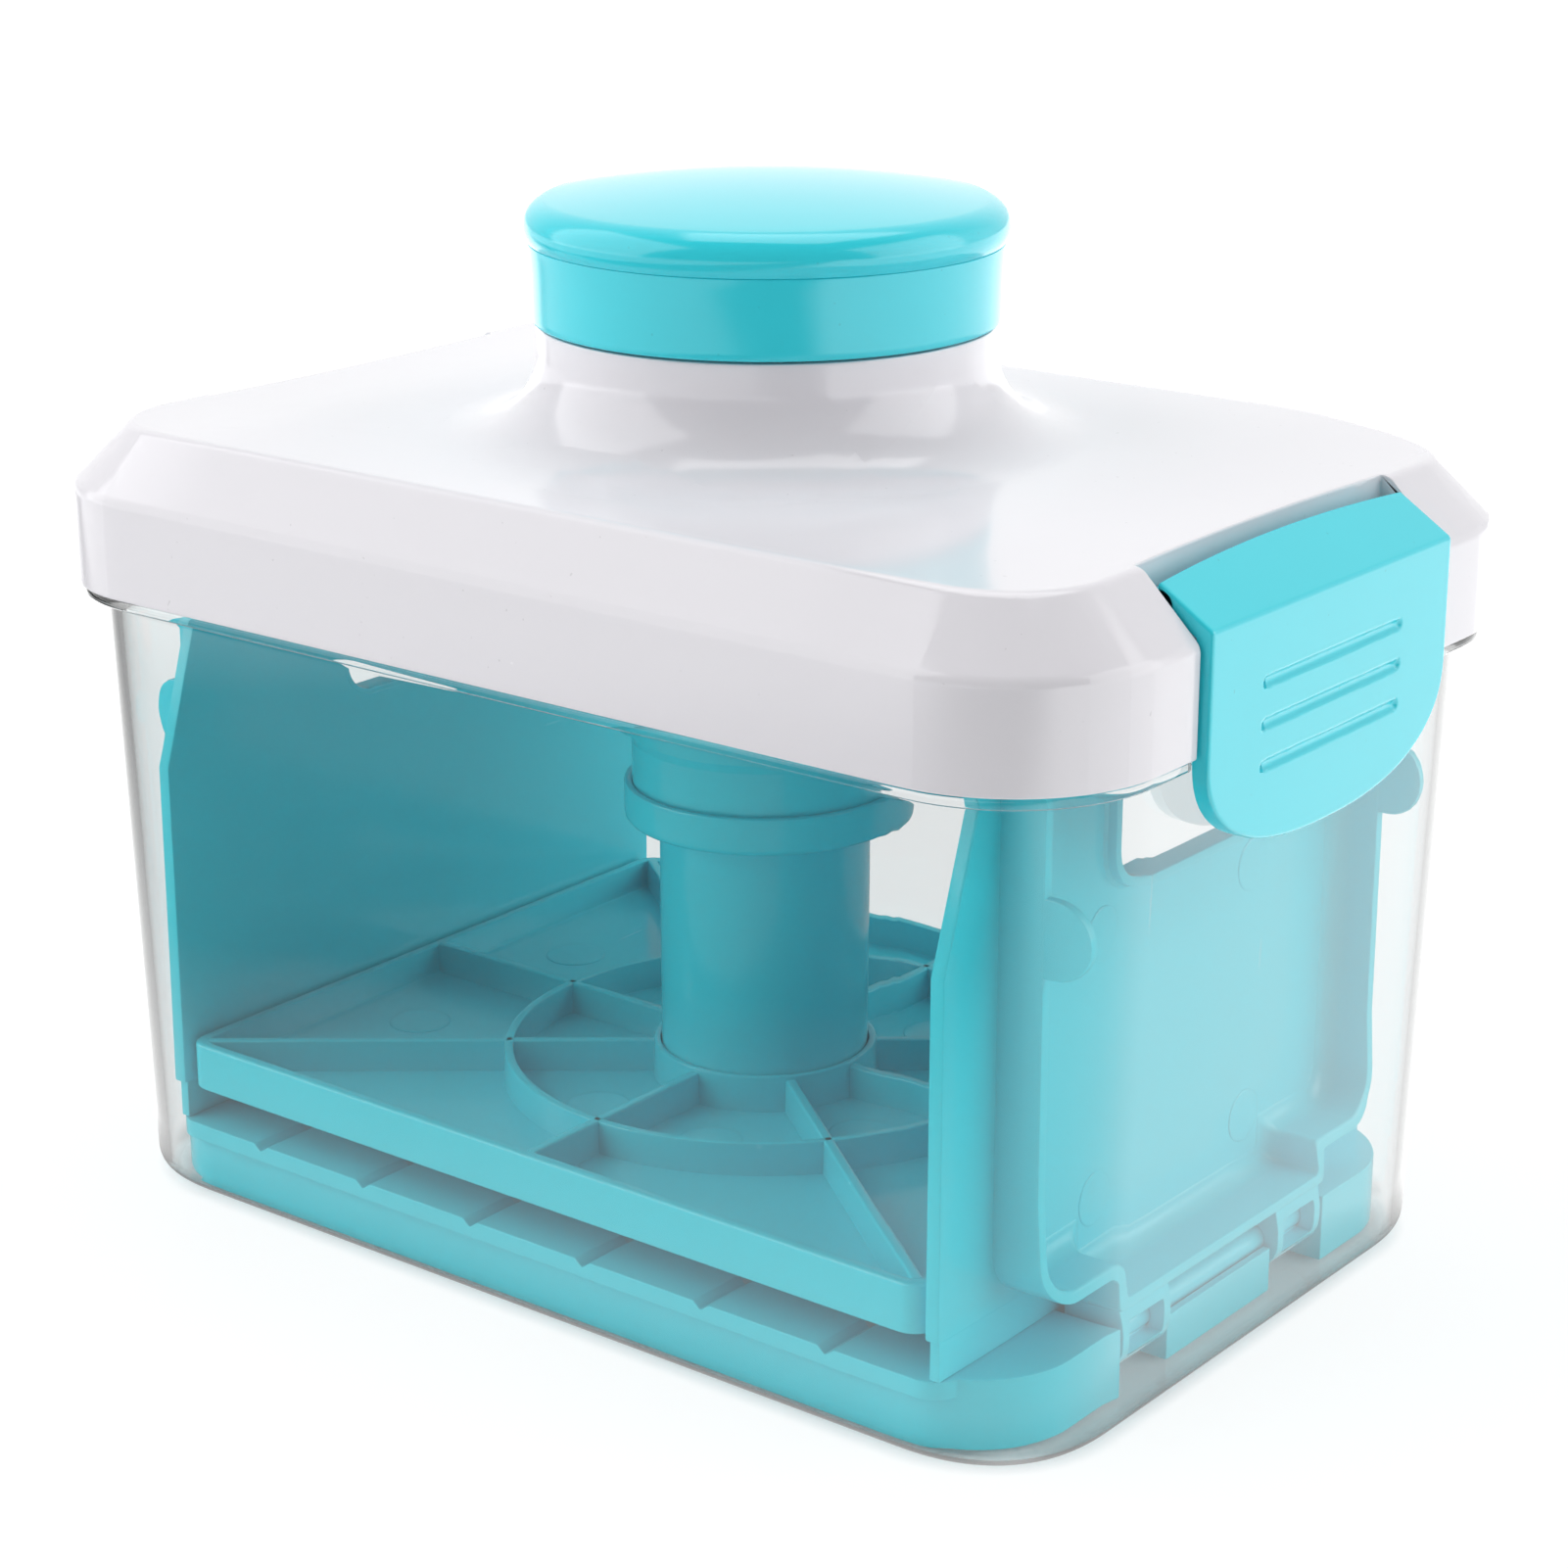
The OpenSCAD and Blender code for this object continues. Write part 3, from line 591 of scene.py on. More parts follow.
def spread(solid, places, slot):
    """A solid made of copies of the given one; places are (x, y, z, degrees about Z)."""
    tree = places_tree()
    part = solid.thing()
    points = bpy.data.meshes.new("places")
    points.from_pydata([p[:3] for p in places], [], [])
    turns = points.attributes.new("turn", "FLOAT", "POINT")
    for i, p in enumerate(places):
        turns.data[i].value = math.radians(p[3])
    thing = bpy.data.objects.new("places", points)
    bpy.context.scene.collection.objects.link(thing)
    modifier = thing.modifiers.new("places", "NODES")
    modifier.node_group = tree
    ids = {s.name: s.identifier for s in tree.interface.items_tree if s.in_out == "INPUT"}
    modifier[ids["Part"]] = part
    modifier[ids["Material"]] = MATERIALS[slot]
    mesh = baked(thing)
    bpy.data.objects.remove(part)
    made = Solid()
    made.bm.from_mesh(mesh)
    bpy.data.meshes.remove(mesh)
    return made


# ---------- tub ----------

TUB_X, TUB_Y, TUB_CORNER = 79.1, 52, 17
TUB_HIGH, TUB_LEAN = 97.0, 3.0
TUB_WALL = 1.7
TUB_FLOOR = 1.1
LEDGE_X, LEDGE_Y, LEDGE_CORNER = 84.2, 56.9, 20.2
LEDGE_LOW, LEDGE_HIGH = 85.4, 87.0
CATCH_X = 83.1
POCKET_HALF = 28.6
CORNER_STEPS = 30


def tub_ring(inset, z, shelf=None):
    """One level of the tub, whose wall leans out towards the rim.

    shelf is how far a level of the ledge stays back from its edge; where a latch catches, the ledge is flat.
    """
    along_x = (-57, -40, -20, 0, 20, 40, 57)
    along_y = (-POCKET_HALF - 0.04, -POCKET_HALF, -14, 0, 14, POCKET_HALF, POCKET_HALF + 0.04)
    if shelf is None:
        lean = TUB_LEAN * z / TUB_HIGH
        corner = 1.16 * (TUB_CORNER + lean - inset)
        half_x, half_y = TUB_X + lean - inset, TUB_Y + lean - inset
        return at_height(rounded(half_x, half_y, corner, CORNER_STEPS, along_x, along_y, 2.4), z)
    half_x, half_y, corner = LEDGE_X - shelf, LEDGE_Y - shelf, LEDGE_CORNER - shelf
    catch = CATCH_X - shelf
    line = []
    for x, y in rounded(half_x, half_y, corner, CORNER_STEPS, along_x, along_y):
        flat = abs(y) <= POCKET_HALF + 0.01
        line.append((max(-catch, min(catch, x)) if flat else x, y))
    return at_height(line, z)


class TOFU_OT_tub(bpy.types.Operator):
    """Clear tub: one closed wall with a soft foot, a ledge under the lid and a rim."""

    bl_idname = "tofu.tub"
    bl_label = "Tub"

    def execute(self, context):
        foot, rim, inner = 3, TUB_WALL / 2, 1.0
        rings = [tub_ring(8, 0), tub_ring(4, 0)]
        rings += [tub_ring(inset, z) for inset, z in arc(foot, foot, foot, foot, 270, 180, 8)]
        rings += [tub_ring(0, z) for z in (4, 12, 30, 50, 70, 82, 84.2, 85.0)]
        rings += [tub_ring(-0.3, LEDGE_LOW - 0.05)]
        rings += [tub_ring(0, z, shelf) for z, shelf in ((LEDGE_LOW, 0.8), (LEDGE_LOW, 0.3), (85.7, 0))]
        rings += [tub_ring(0, z, shelf) for z, shelf in ((86.7, 0), (LEDGE_HIGH, 0.3), (LEDGE_HIGH, 0.8))]
        rings += [tub_ring(-0.3, LEDGE_HIGH + 0.05)]
        rings += [tub_ring(0, z) for z in (87.4, 88.5, 95.8)]
        rings += [tub_ring(inset, z) for inset, z in arc(rim, TUB_HIGH - rim, rim, rim, 180, 0, 8)]
        rings += [tub_ring(TUB_WALL, z) for z in (95, 87, 70, 50, 30, 12, 4, 3)]
        turn = arc(TUB_WALL + inner, TUB_FLOOR + inner, inner, inner, 180, 270, 5)
        rings += [tub_ring(inset, z) for inset, z in turn]
        rings += [tub_ring(4, TUB_FLOOR), tub_ring(8, TUB_FLOOR)]
        wall = Solid().skin(rings, caps=True)
        Piece("clear_tub").add(wall).ready("container", "tub_clear", "tub", crease=60)
        return {"FINISHED"}


# ---------- lid ----------

SIDE_RAISE, SIDE_PUSH = 0.9, 3.5


def ease(value, low, high):
    """Smooth rise from 0 at low to 1 at high."""
    t = min(max((value - low) / (high - low), 0.0), 1.0)
    return t * t * (3 - 2 * t)


def fuller(at):
    """Along the lid's long sides the bevel is steeper and the top a little higher than at the ends."""
    rise = min(max((at.z - LID_BAND) / (LID_TOP - LID_BAND), 0.0), 1.0) * (1 - ease(abs(at.x), 48, 72))
    at.z += SIDE_RAISE * rise * ease(math.hypot(at.x, at.y), 33, 47)
    at.y += math.copysign(SIDE_PUSH * rise * ease(abs(at.y), 34, 47), at.y)


class TOFU_OT_lid(bpy.types.Operator):
    """White lid with the flared neck, a pocket for each latch and the knob's spigot."""

    bl_idname = "tofu.lid"
    bl_label = "Lid"

    def execute(self, context):
        shell = Solid().copy_of("lid_shell")
        cuts = (((1, 0, 0), (30, 48, 54, 60, 66, 72)), ((0, 1, 0), (18, 34, 38, 42, 47)))
        for across, places in cuts:
            for place in [s * q for q in places for s in (-1, 1)]:
                whole = shell.bm.verts[:] + shell.bm.edges[:] + shell.bm.faces[:]
                at = [place * c for c in across]
                bmesh.ops.bisect_plane(shell.bm, geom=whole, dist=1e-3, plane_co=at, plane_no=across)
        for vert in shell.bm.verts:
            fuller(vert.co)
        Piece("white_lid").add(shell, sizes().lid_edge / MM, 2, 40).ready("lid", "lid_white", "lid_shell")
        return {"FINISHED"}


# ---------- knob ----------


def dome_line(inset):
    """Outline of the dome from the parting line over the rim to the middle."""
    rim = arc(27.6, 136.3, 4.2 - 0.8 * inset, 3.6 - 0.8 * inset, -32, 75, 14)
    r0, z0 = rim[-1]
    top = CROWN - inset
    crown = [(r0 * (1 - i / 12), top - (top - z0) * (1 - i / 12) ** 2) for i in range(1, 13)]
    return rim + crown


def dome_wall():
    """Hollow dome: rolled seam, rim and crown outside, a collar inside that the skirt takes."""
    outer = dome_line(0)
    under = outer[0][0]
    line = [(under - 0.2, PARTING), (under - 0.05, PARTING + 0.04), (under + 0.01, PARTING + 0.14)]
    line += outer[1:] + dome_line(2)[::-1]
    line += [(27.25, PARTING), (27.25, 130.7), (28.55, 130.7), (28.85, 131.2), (28.85, PARTING)]
    return Solid().turned(line, 160)


def skirt_wall():
    """Skirt that narrows to a waist over the neck."""
    under = dome_line(0)[0][0]
    low, waist = NECK_TOP + 0.3, 30.8
    line = [(28.9, low), (waist - 0.45, low), (waist - 0.13, low + 0.1), (waist, low + 0.4)]
    line += [(waist + (under - waist) * t * t, low + (PARTING - low) * t) for t in (0.1, 0.3, 0.5, 0.7, 0.85)]
    line += [(under - 0.02, PARTING - 0.14), (under - 0.07, PARTING - 0.04), (under - 0.2, PARTING)]
    return Solid().turned(line + [(28.9, PARTING)], 160)


def bayonet_lugs():
    """Three lugs inside the skirt that catch under the spigot's own."""
    turns = [math.radians(a) for a in range(-14, 15, 4)]
    corners = ((29.2, 124.9), (27.7, 124.9), (27.7, 126.3), (29.2, 126.3))
    rows = [[(r * math.cos(t), r * math.sin(t), z) for t in turns] for r, z in corners]
    lug = Solid().skin(rows, loop=False, wrap=True)
    return spread(lug, [(0, 0, 0, 120 * i) for i in range(3)], "teal_gloss")


class TOFU_OT_knob(bpy.types.Operator):
    """Round knob: waisted skirt, fine parting line, dome with a soft rim."""

    bl_idname = "tofu.knob"
    bl_label = "Knob"

    def execute(self, context):
        Piece("knob_cap").add(dome_wall()).ready("knob", "teal_gloss", "knob_dome", crease=50)
        skirt = Piece("knob_wall").add(skirt_wall()).add(bayonet_lugs(), 0.15)
        skirt.ready("knob", "teal_gloss", "knob_skirt", crease=50)
        return {"FINISHED"}


# ---------- guide column ----------


def screw_places():
    """Where the three screws stand round the neck."""
    turns = [math.radians(60 + 120 * i) for i in range(3)]
    return [(21.9 * math.cos(t), 21.9 * math.sin(t), 0) for t in turns]


def sleeve_wall():
    """Sleeve with the flange that hangs in the neck."""
    line = [(15.9, 58.2), (16.2, 57.9), (17.8, 57.9), (18.0, 58.2), (18.0, 66.9), (18.06, 67.2)]
    line += [(18.52, 68.2), (18.6, 68.5), (18.6, 80), (18.6, 100), (18.6, 122.9), (18.8, NECK_TOP)]
    line += [(24.6, NECK_TOP), (24.8, 123.9), (24.8, 125.6), (24.5, 125.9), (16.2, 125.9), (15.9, 125.6)]
    return Solid().turned(line, 128)


def collar_ring():
    """Collar that closes the sleeve's foot."""
    line = [(14.6, 56.3), (14.75, 55.98), (15.0, 55.9), (18.2, 55.9), (18.75, 56.05), (19.02, 56.4)]
    line += [(19.1, 56.9), (19.1, 60.7), (18.98, 61.05), (18.7, 61.2), (18.3, 61.2), (18.05, 61.0)]
    line += [(18.05, 57.85), (14.6, 57.85)]
    return Solid().turned(line, 128)


def screw():
    """Domed screw with a cross recess, standing on the sleeve's flange."""
    line = [(0, 117.2), (1.1, 117.2), (1.5, 117.7), (1.5, 127.7), (2.55, 127.7), (2.7, 127.85)]
    line += [(2.62, 128.3), (2.3, 128.85), (1.6, 129.12), (0, 129.2)]
    recess = Solid().block(-1.3, 1.3, -0.45, 0.45, 128.4, 130)
    recess.also(Solid().block(-0.45, 0.45, -1.3, 1.3, 128.45, 130.1))
    cut = Piece("head").add(Solid().turned(line, 32, closed=False), cut=[recess], tidy=False)
    made = Solid()
    made.bm = cut.bm
    return made


class TOFU_OT_column(bpy.types.Operator):
    """Guide sleeve with its collar, and the screwed cover that holds the spring."""

    bl_idname = "tofu.column"
    bl_label = "Guide column"

    def execute(self, context):
        bore = Solid().turned([(0, 120), (1.6, 120), (1.6, 130), (0, 130)], 24, closed=False)
        holes = spread(bore, [(*p, 0) for p in screw_places()], "teal_gloss")
        sleeve = Piece("sleeve").add(sleeve_wall(), cut=[holes], tidy=False)
        sleeve.ready("lid", "teal_gloss", "guide_sleeve")
        Piece("collar").add(collar_ring()).ready("lid", "teal_gloss", "sleeve_collar")
        cover = Solid().copy_of("spring_cover")
        Piece("cover").add(cover, 0.25, 2, 40).ready("lid", "teal_gloss", "spring_cover")
        row = spread(screw(), [(*p, 30 + 40 * i) for i, p in enumerate(screw_places())], "steel")
        Piece("screws").add(row).ready("lid", "steel", "cover_screws", crease=35)
        return {"FINISHED"}


# ---------- spring ----------

WIRE_R = 0.9
COIL_R = 10.6
COILS = 13
END_TURNS = 1.5


class TOFU_OT_spring(bpy.types.Operator):
    """Press spring with closed ends."""

    bl_idname = "tofu.spring"
    bl_label = "Spring"

    def execute(self, context):
        low, high = PLATE_FLOOR + 0.1 + WIRE_R, SPRING_TOP - WIRE_R
        rise = END_TURNS * (2 * WIRE_R + 0.5)
        turns = COILS + 2 * END_TURNS
        per_turn, sides = 24, 10
        rings = []
        for i in range(int(turns * per_turn) + 1):
            t = i / per_turn
            if t < END_TURNS:
                z = low + rise * t / END_TURNS
            elif t > turns - END_TURNS:
                z = high - rise * (turns - t) / END_TURNS
            else:
                z = low + rise + (high - low - 2 * rise) * (t - END_TURNS) / COILS
            a = math.tau * t
            ring = []
            for r, dz in arc(COIL_R, 0, WIRE_R, WIRE_R, 0, 360 - 360 / sides, sides - 1):
                ring.append((r * math.cos(a), r * math.sin(a), z + dz))
            rings.append(ring)
        wire = Solid().skin(rings, caps=True)
        spring = Piece("spring").add(wire).ready("lid", "steel", "press_spring", crease=60)
        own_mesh(spring)
        return {"FINISHED"}


# ---------- plunger ----------


def tube_wall():
    """Plunger tube with the stop flange that rides in the sleeve."""
    line = [(12.6, PLATE_FLOOR), (TUBE_R, PLATE_FLOOR), (TUBE_R, 24), (TUBE_R, 40), (TUBE_R, 56)]
    line += [(TUBE_R, 57.8), (14.4, 57.95), (15.7, 57.95), (15.84, 58.1), (15.84, 60.8), (15.7, 60.95)]
    line += [(14.4, 60.95), (TUBE_R, 61.1), (TUBE_R, 86.6), (14.15, 86.95), (13.8, 87.1), (12.8, 87.1)]
    return Solid().turned(line + [(12.6, 86.9)], 128)


def plate_dish():
    """The plate's floor and outer wall."""
    rims = [(1.2, 2, 15.6), (0.5, 3, 15.68), (0.15, 3, 15.85), (0, 3, 16.1)]
    rims += [(0, 3, 22.1), (0.1, 3, 22.35)]
    rims += [(0.4, 3, 22.5), (1.3, 2.4, 22.5), (1.55, 2.3, 22.38), (1.6, 2.2, 22.1), (1.6, 2.2, 18.8)]
    rims += [(1.8, 2.2, 18.3), (2.3, 2.2, PLATE_FLOOR), (3.2, 2, PLATE_FLOOR)]
    along_x, along_y = (-57, -30, 0, 30, 57), (-44, -22, 0, 22, 44)
    rings = [
        at_height(rounded(PLATE_X - inset, PLATE_Y - inset, r, 6, along_x, along_y), z)
        for inset, r, z in rims
    ]
    return Solid().skin(rings, caps=True)


def plate_ribs():
    """Eight ribs from the tube: four square to the wall and four to the corners."""
    half = [(0.9, PLATE_FLOOR - 0.2), (0.75, RIB_TOP - 0.25), (0.62, RIB_TOP - 0.06), (0.4, RIB_TOP)]
    line = [(-y, z) for y, z in half] + half[::-1]
    rib = Solid().skin([at_front(line, x) for x in (14.8, 30, 50, 90)], caps=True)
    corner = math.degrees(math.atan2(PLATE_Y - 1.6, PLATE_X - 1.6))
    turns = (0, 90, 180, 270, corner, 180 - corner, 180 + corner, -corner)
    return spread(rib, [(0, 0, 0, turn) for turn in turns], "teal_gloss")


def plate_ring(r_in, r_out, top):
    """Round wall on the plate with softened top edges."""
    line = [(r_in, 17.9), (r_out + 0.15, 17.9), (r_out, top - 0.3), (r_out - 0.1, top - 0.08)]
    line += [(r_out - 0.3, top), (r_in + 0.3, top), (r_in + 0.1, top - 0.08), (r_in, top - 0.3)]
    return Solid().turned(line, 128)


def plate_marks():
    """Ejector marks on the plate's floor, in a ring of eight and near the corners."""
    ring = [math.radians(a) for a in (22, 68, 112, 158, 202, 248, 292, 338)]
    spots = [(26 * math.cos(a), 26 * math.sin(a), PLATE_FLOOR, 0) for a in ring]
    spots += [(s * 50, t * 17, PLATE_FLOOR, 0) for s in (-1, 1) for t in (-1, 1)]
    return spread(ejector_mark(4.4, sizes().mark_height / MM), spots, "teal_gloss")


class TOFU_OT_plunger(bpy.types.Operator):
    """Plunger tube with its stop flange, and the ribbed press plate."""

    bl_idname = "tofu.plunger"
    bl_label = "Plunger"

    def execute(self, context):
        Piece("tube").add(tube_wall()).ready("plunger", "teal_gloss", "plunger_tube")
        plate = Piece("plate").add(plate_dish())
        room = Solid().prism(rounded(PLATE_X - 1.4, PLATE_Y - 1.4, 2.2, 6), at_height, 17, 30)
        plate.add(plate_ribs(), keep=room, tidy=False)
        plate.add(plate_ring(14.42, 15.4, 23.2))
        plate.add(plate_ring(34.9, 36.2, RIB_TOP))
        plate.add(plate_marks())
        plate.ready("plunger", "teal_gloss", "press_plate")
        return {"FINISHED"}


def ejector_mark(r, height):
    """Low round pad, as an ejector pin leaves it, standing on z = 0."""
    line = [(0, -0.3), (r, -0.3), (r, height * 0.5), (r - 0.12, height)]
    line += [(r - 0.35, height * 1.1), (r - 0.6, height), (0, height * 0.8)]
    return Solid().turned(line, 40, closed=False)


# ---------- latches ----------

LATCH_HALF = 28.2
LATCH_OUT = 86.2
LATCH_IN = 84.0
ARC_TOP = 87.1
LATCH_LOW = 72.7
FULLNESS = 2.4
FACET_SLOPE = 0.635
FACET_Z = 106.8
FOLD_R = 0.9
FOLD_STEPS = 10
FRONT_STEPS = 120
LATCH_EDGE = 0.4
LATCH_WALL = 2.0
GRIPS = (93.6, 88.45, 83.3)
GRIP_HALF = 15.6


def low_edge(y):
    """Height of the latch's rounded lower edge at y."""
    return ARC_TOP - (ARC_TOP - LATCH_LOW) * max(0.0, 1 - abs(y / LATCH_HALF) ** FULLNESS) ** (1 / FULLNESS)


def from_edge(y, z):
    """Distance from a point of the latch's front to its outline."""
    side = LATCH_HALF - abs(y)
    if z >= ARC_TOP:
        return max(0.0, side)
    u, v = abs(y) / LATCH_HALF, (ARC_TOP - z) / (ARC_TOP - LATCH_LOW)
    value = u**FULLNESS + v**FULLNESS
    rises = u ** (FULLNESS - 1) / LATCH_HALF, v ** (FULLNESS - 1) / (ARC_TOP - LATCH_LOW)
    slope = FULLNESS * math.hypot(*rises)
    return max(0.0, (1 - value) / max(slope, 1e-6))


def grip_cut(y, z, depth):
    """Depth of the grip grooves at a point; each ends in a deeper dimple on one side."""
    deep = 0.0
    for level in GRIPS:
        end = max(0.0, abs(y) - GRIP_HALF)
        away = math.hypot(z - level, end)
        deep = max(deep, depth * max(0.0, 1 - (away / 0.72) ** 2) ** 0.6)
        dimple = math.hypot(z - level + 0.1, y + GRIP_HALF + 0.35)
        deep = max(deep, 2.2 * depth * max(0.0, 1 - (dimple / 0.62) ** 2) ** 0.6)
    return deep


def latch_columns():
    """Distances across the latch, close together at its edges and at the grooves' ends."""
    half = [28.2, 28.19, 28.15, 28.08, 27.97, 27.8, 27.6, 27.3, 26.9, 26.4, 25.8]
    half += [25, 24, 23, 22, 21, 20, 19, 18, 17.2]
    half += [16.8 - 0.2 * i for i in range(14)] + [13.6, 12.4, 11, 9.5, 8, 6.5, 5, 3.5, 2, 1, 0]
    return half[:-1] + [-y for y in half[::-1]]


def facet_height(x):
    """Height of the latch's sloped facet."""
    return FACET_Z - (x - PIN_X) * FACET_SLOPE


def edge_drop(y, z):
    """How far the rounded edge falls back from the surface at a point."""
    gap = from_edge(y, z)
    if gap >= LATCH_EDGE:
        return 0.0
    return LATCH_EDGE - math.sqrt(max(0.0, LATCH_EDGE**2 - (LATCH_EDGE - gap) ** 2))


def latch_solid(depth):
    """Latch shell on a fine grid: sloped facet, fold, front with rounded outline and grip grooves."""
    columns = latch_columns()
    turn = math.degrees(math.atan(1 / FACET_SLOPE))
    fold_z = facet_height(LATCH_OUT) - FOLD_R * math.tan(math.radians(turn / 2))
    fold = arc(LATCH_OUT - FOLD_R, fold_z, FOLD_R, FOLD_R, turn, 0, FOLD_STEPS)
    across = Vector((FACET_SLOPE, 1)).normalized()
    wall_z = LATCH_WALL * math.hypot(1, FACET_SLOPE)
    under = facet_height(LATCH_IN) - wall_z
    outer, inner = [], []

    def put(row, back, at, normal, behind):
        x, y, z = at
        drop = edge_drop(y, z)
        row.append((x - normal[0] * drop, y, z - normal[1] * drop))
        back.append((behind[0], y, behind[1]))

    for u in (0, 0.03, 0.1, 0.3, 0.5, 0.7, 0.85, 0.95):
        row, back = [], []
        for y in columns:
            back_x = PIN_X - 1.1 * (1 - (y / LATCH_HALF) ** 2)
            x = back_x + (fold[0][0] - back_x) * u
            in_x = min(x, LATCH_IN)
            put(row, back, (x, y, facet_height(x)), across, (in_x, facet_height(in_x) - wall_z))
        outer.append(row)
        inner.append(back)
    for i, (x, z) in enumerate(fold):
        lean = math.radians(turn * (1 - i / FOLD_STEPS))
        row, back = [], []
        for y in columns:
            put(row, back, (x, y, z), (math.cos(lean), math.sin(lean)), (LATCH_IN, under - 0.01 * i))
        outer.append(row)
        inner.append(back)
    for i in range(1, FRONT_STEPS + 1):
        row, back = [], []
        for y in columns:
            z = fold_z + (low_edge(y) - fold_z) * i / FRONT_STEPS
            behind = (LATCH_IN, min(z, under - 0.2) if i < FRONT_STEPS else z)
            put(row, back, (LATCH_OUT - grip_cut(y, z, depth), y, z), (1, 0), behind)
        outer.append(row)
        inner.append(back)
    return Solid().skin(outer + inner[::-1], loop=False, wrap=True)


class TOFU_OT_latches(bpy.types.Operator):
    """Both latches with their hooks and pins."""

    bl_idname = "tofu.latches"
    bl_label = "Latches"

    def execute(self, context):
        for side, turned in (("right", False), ("left", True)):
            piece = Piece("clip_" + side)
            piece.add(latch_solid(sizes().grip_depth / MM))
            knuckle = [(1.05, -28.2), (1.75, -28.2), (1.92, -27.9), (1.92, 27.9), (1.75, 28.2), (1.05, 28.2)]
            piece.add(Solid().along_y(knuckle, PIN_X, PIN_Z))
            hook = [(84.4, 85.1), (83.35, 85.1), (83.35, 84.4), (84.4, 83.0)]
            piece.add(Solid().prism(hook, side_view, -14, 14), 0.15)
            piece.ready("latch_" + side, "teal_gloss", "latch_" + side, crease=55, turned=turned)

            half = 30.2
            pin = [(0, -half), (0.75, -half), (1.0, 0.25 - half), (1.0, half - 0.25), (0.75, half), (0, half)]
            pin_piece = Piece("clip_pin_" + side).add(Solid().along_y(pin, PIN_X, PIN_Z, 32))
            pin_piece.ready("lid", "steel", "latch_pin_" + side, turned=turned)
        return {"FINISHED"}


# ---------- tray ----------


class TOFU_OT_tray(bpy.types.Operator):
    """Grooved drain tray."""

    bl_idname = "tofu.tray"
    bl_label = "Tray"

    def execute(self, context):
        tray = Solid().copy_of("drain_tray")
        Piece("tray").add(tray, 0.22, 2, 40).ready("basket", "teal_gloss", "drain_tray")
        return {"FINISHED"}


# ---------- end panels ----------

PAN_DEPTH = 6.1
PAN_HALF, PAN_LOW = 39.5, 17.2
PAN_STEP_HALF, PAN_STEP_LOW = 24.8, 12.6
# Height, and how much deeper the pan's wall is there
PAN_DEEPER = ((100, 0), (32.2, 0.1), (20.2, 0.9), (16.2, 2.1))
PANEL_HALF = 50.1
EAR_Z = 65.6
PAN_WALL = 1.6
COVE_R = 2.8


def pan_line(inset):
    """Outline of the pan, from the upper right round the stepped bottom to the upper left."""
    low, mid = PAN_LOW + inset, PAN_STEP_LOW + inset
    half, step = PAN_HALF - inset, PAN_STEP_HALF - inset
    r = max(0.6, 7 - inset)
    heights = (86.8, 80, 72, 64, 56, 48, 40, 32, low + r + 1)
    line = [(half, z) for z in heights]
    line += arc(half - r, low + r, r, r, 0, -90, 10)
    soft = 0.8
    line += arc(step + soft, low - soft, soft, soft, 90, 180, 4)
    line += arc(step - soft, mid + soft, soft, soft, 0, -90, 4)
    return line + [(-y, z) for y, z in line[::-1]]


def pan_edge_x(z):
    """How far out the pan's wall reaches: deeper towards the hinge."""
    edge = WEB_X + PAN_DEPTH
    for (z0, d0), (z1, d1) in zip(PAN_DEEPER, PAN_DEEPER[1:]):
        if z >= z1:
            return edge + d0 + (d1 - d0) * (z0 - z) / (z0 - z1)
    return edge + PAN_DEEPER[-1][1]


def pan_row(inset, x, back=0.0):
    """One line along the pan's wall; x is a distance, or None for the wall's outer edge less back."""
    return [(pan_edge_x(z) - back if x is None else x, y, z) for y, z in pan_line(inset)]


def panel_outline():
    """The sheet seen from its end: upright sides, then a taper to the rounded top corners."""
    line = [(-PANEL_HALF, 15.9), (PANEL_HALF, 15.9), (PANEL_HALF, 62.1)]
    line += arc(38.6, 85.1, 4, 4, 15, 90, 8) + arc(-38.6, 85.1, 4, 4, 90, 165, 8)
    return line + [(-PANEL_HALF, 62.1)]


def slot_line(grow):
    """Outline of the finger slot, made larger all round by grow."""
    return [(y, z + 72.4) for y, z in rounded(15 + grow, 8 + grow, 4.5 + grow, 8)]


def panel_web():
    """The panel's flat sheet with its finger slot."""
    sheet = Solid().prism(panel_outline(), at_front, PANEL_X, WEB_X)
    slot = Solid().prism(slot_line(0.7), at_front, 60, 70)
    return sheet, slot


def pan_wall():
    """The raised wall round the pan, with a rounded top and a cove where it meets the sheet."""
    cove = arc(PAN_WALL + COVE_R, WEB_X + COVE_R, COVE_R, COVE_R, 180, 270, 8)
    rows = [pan_row(0, WEB_X - 0.4), pan_row(0, WEB_X + 0.1)]
    rows += [pan_row(0, None, 0.35), pan_row(0.1, None, 0.1)]
    rows += [pan_row(0.35, None), pan_row(PAN_WALL - 0.35, None), pan_row(PAN_WALL - 0.1, None, 0.1)]
    rows += [pan_row(PAN_WALL, None, 0.35)]
    rows += [pan_row(inset, x + 0.02) for inset, x in cove]
    rows += [pan_row(PAN_WALL + COVE_R + 0.4, WEB_X - 0.4)]
    return Solid().skin(rows, loop=False, wrap=True)


def slot_rim():
    """Rounded lip round the finger slot, from the panel's inner face to its outer side."""
    rows = [(0.25, PANEL_X), (0.07, PANEL_X + 0.07), (0, PANEL_X + 0.25), (0, 66.9), (0.1, 67.12)]
    rows += [(0.35, 67.2), (1.05, 67.2), (1.3, 67.12), (1.4, 66.9), (1.45, 66), (1.9, 65.62)]
    rows += [(1.9, 65), (0.8, PANEL_X + 0.02)]
    return Solid().skin([at_front(slot_line(grow), x) for grow, x in rows], wrap=True)


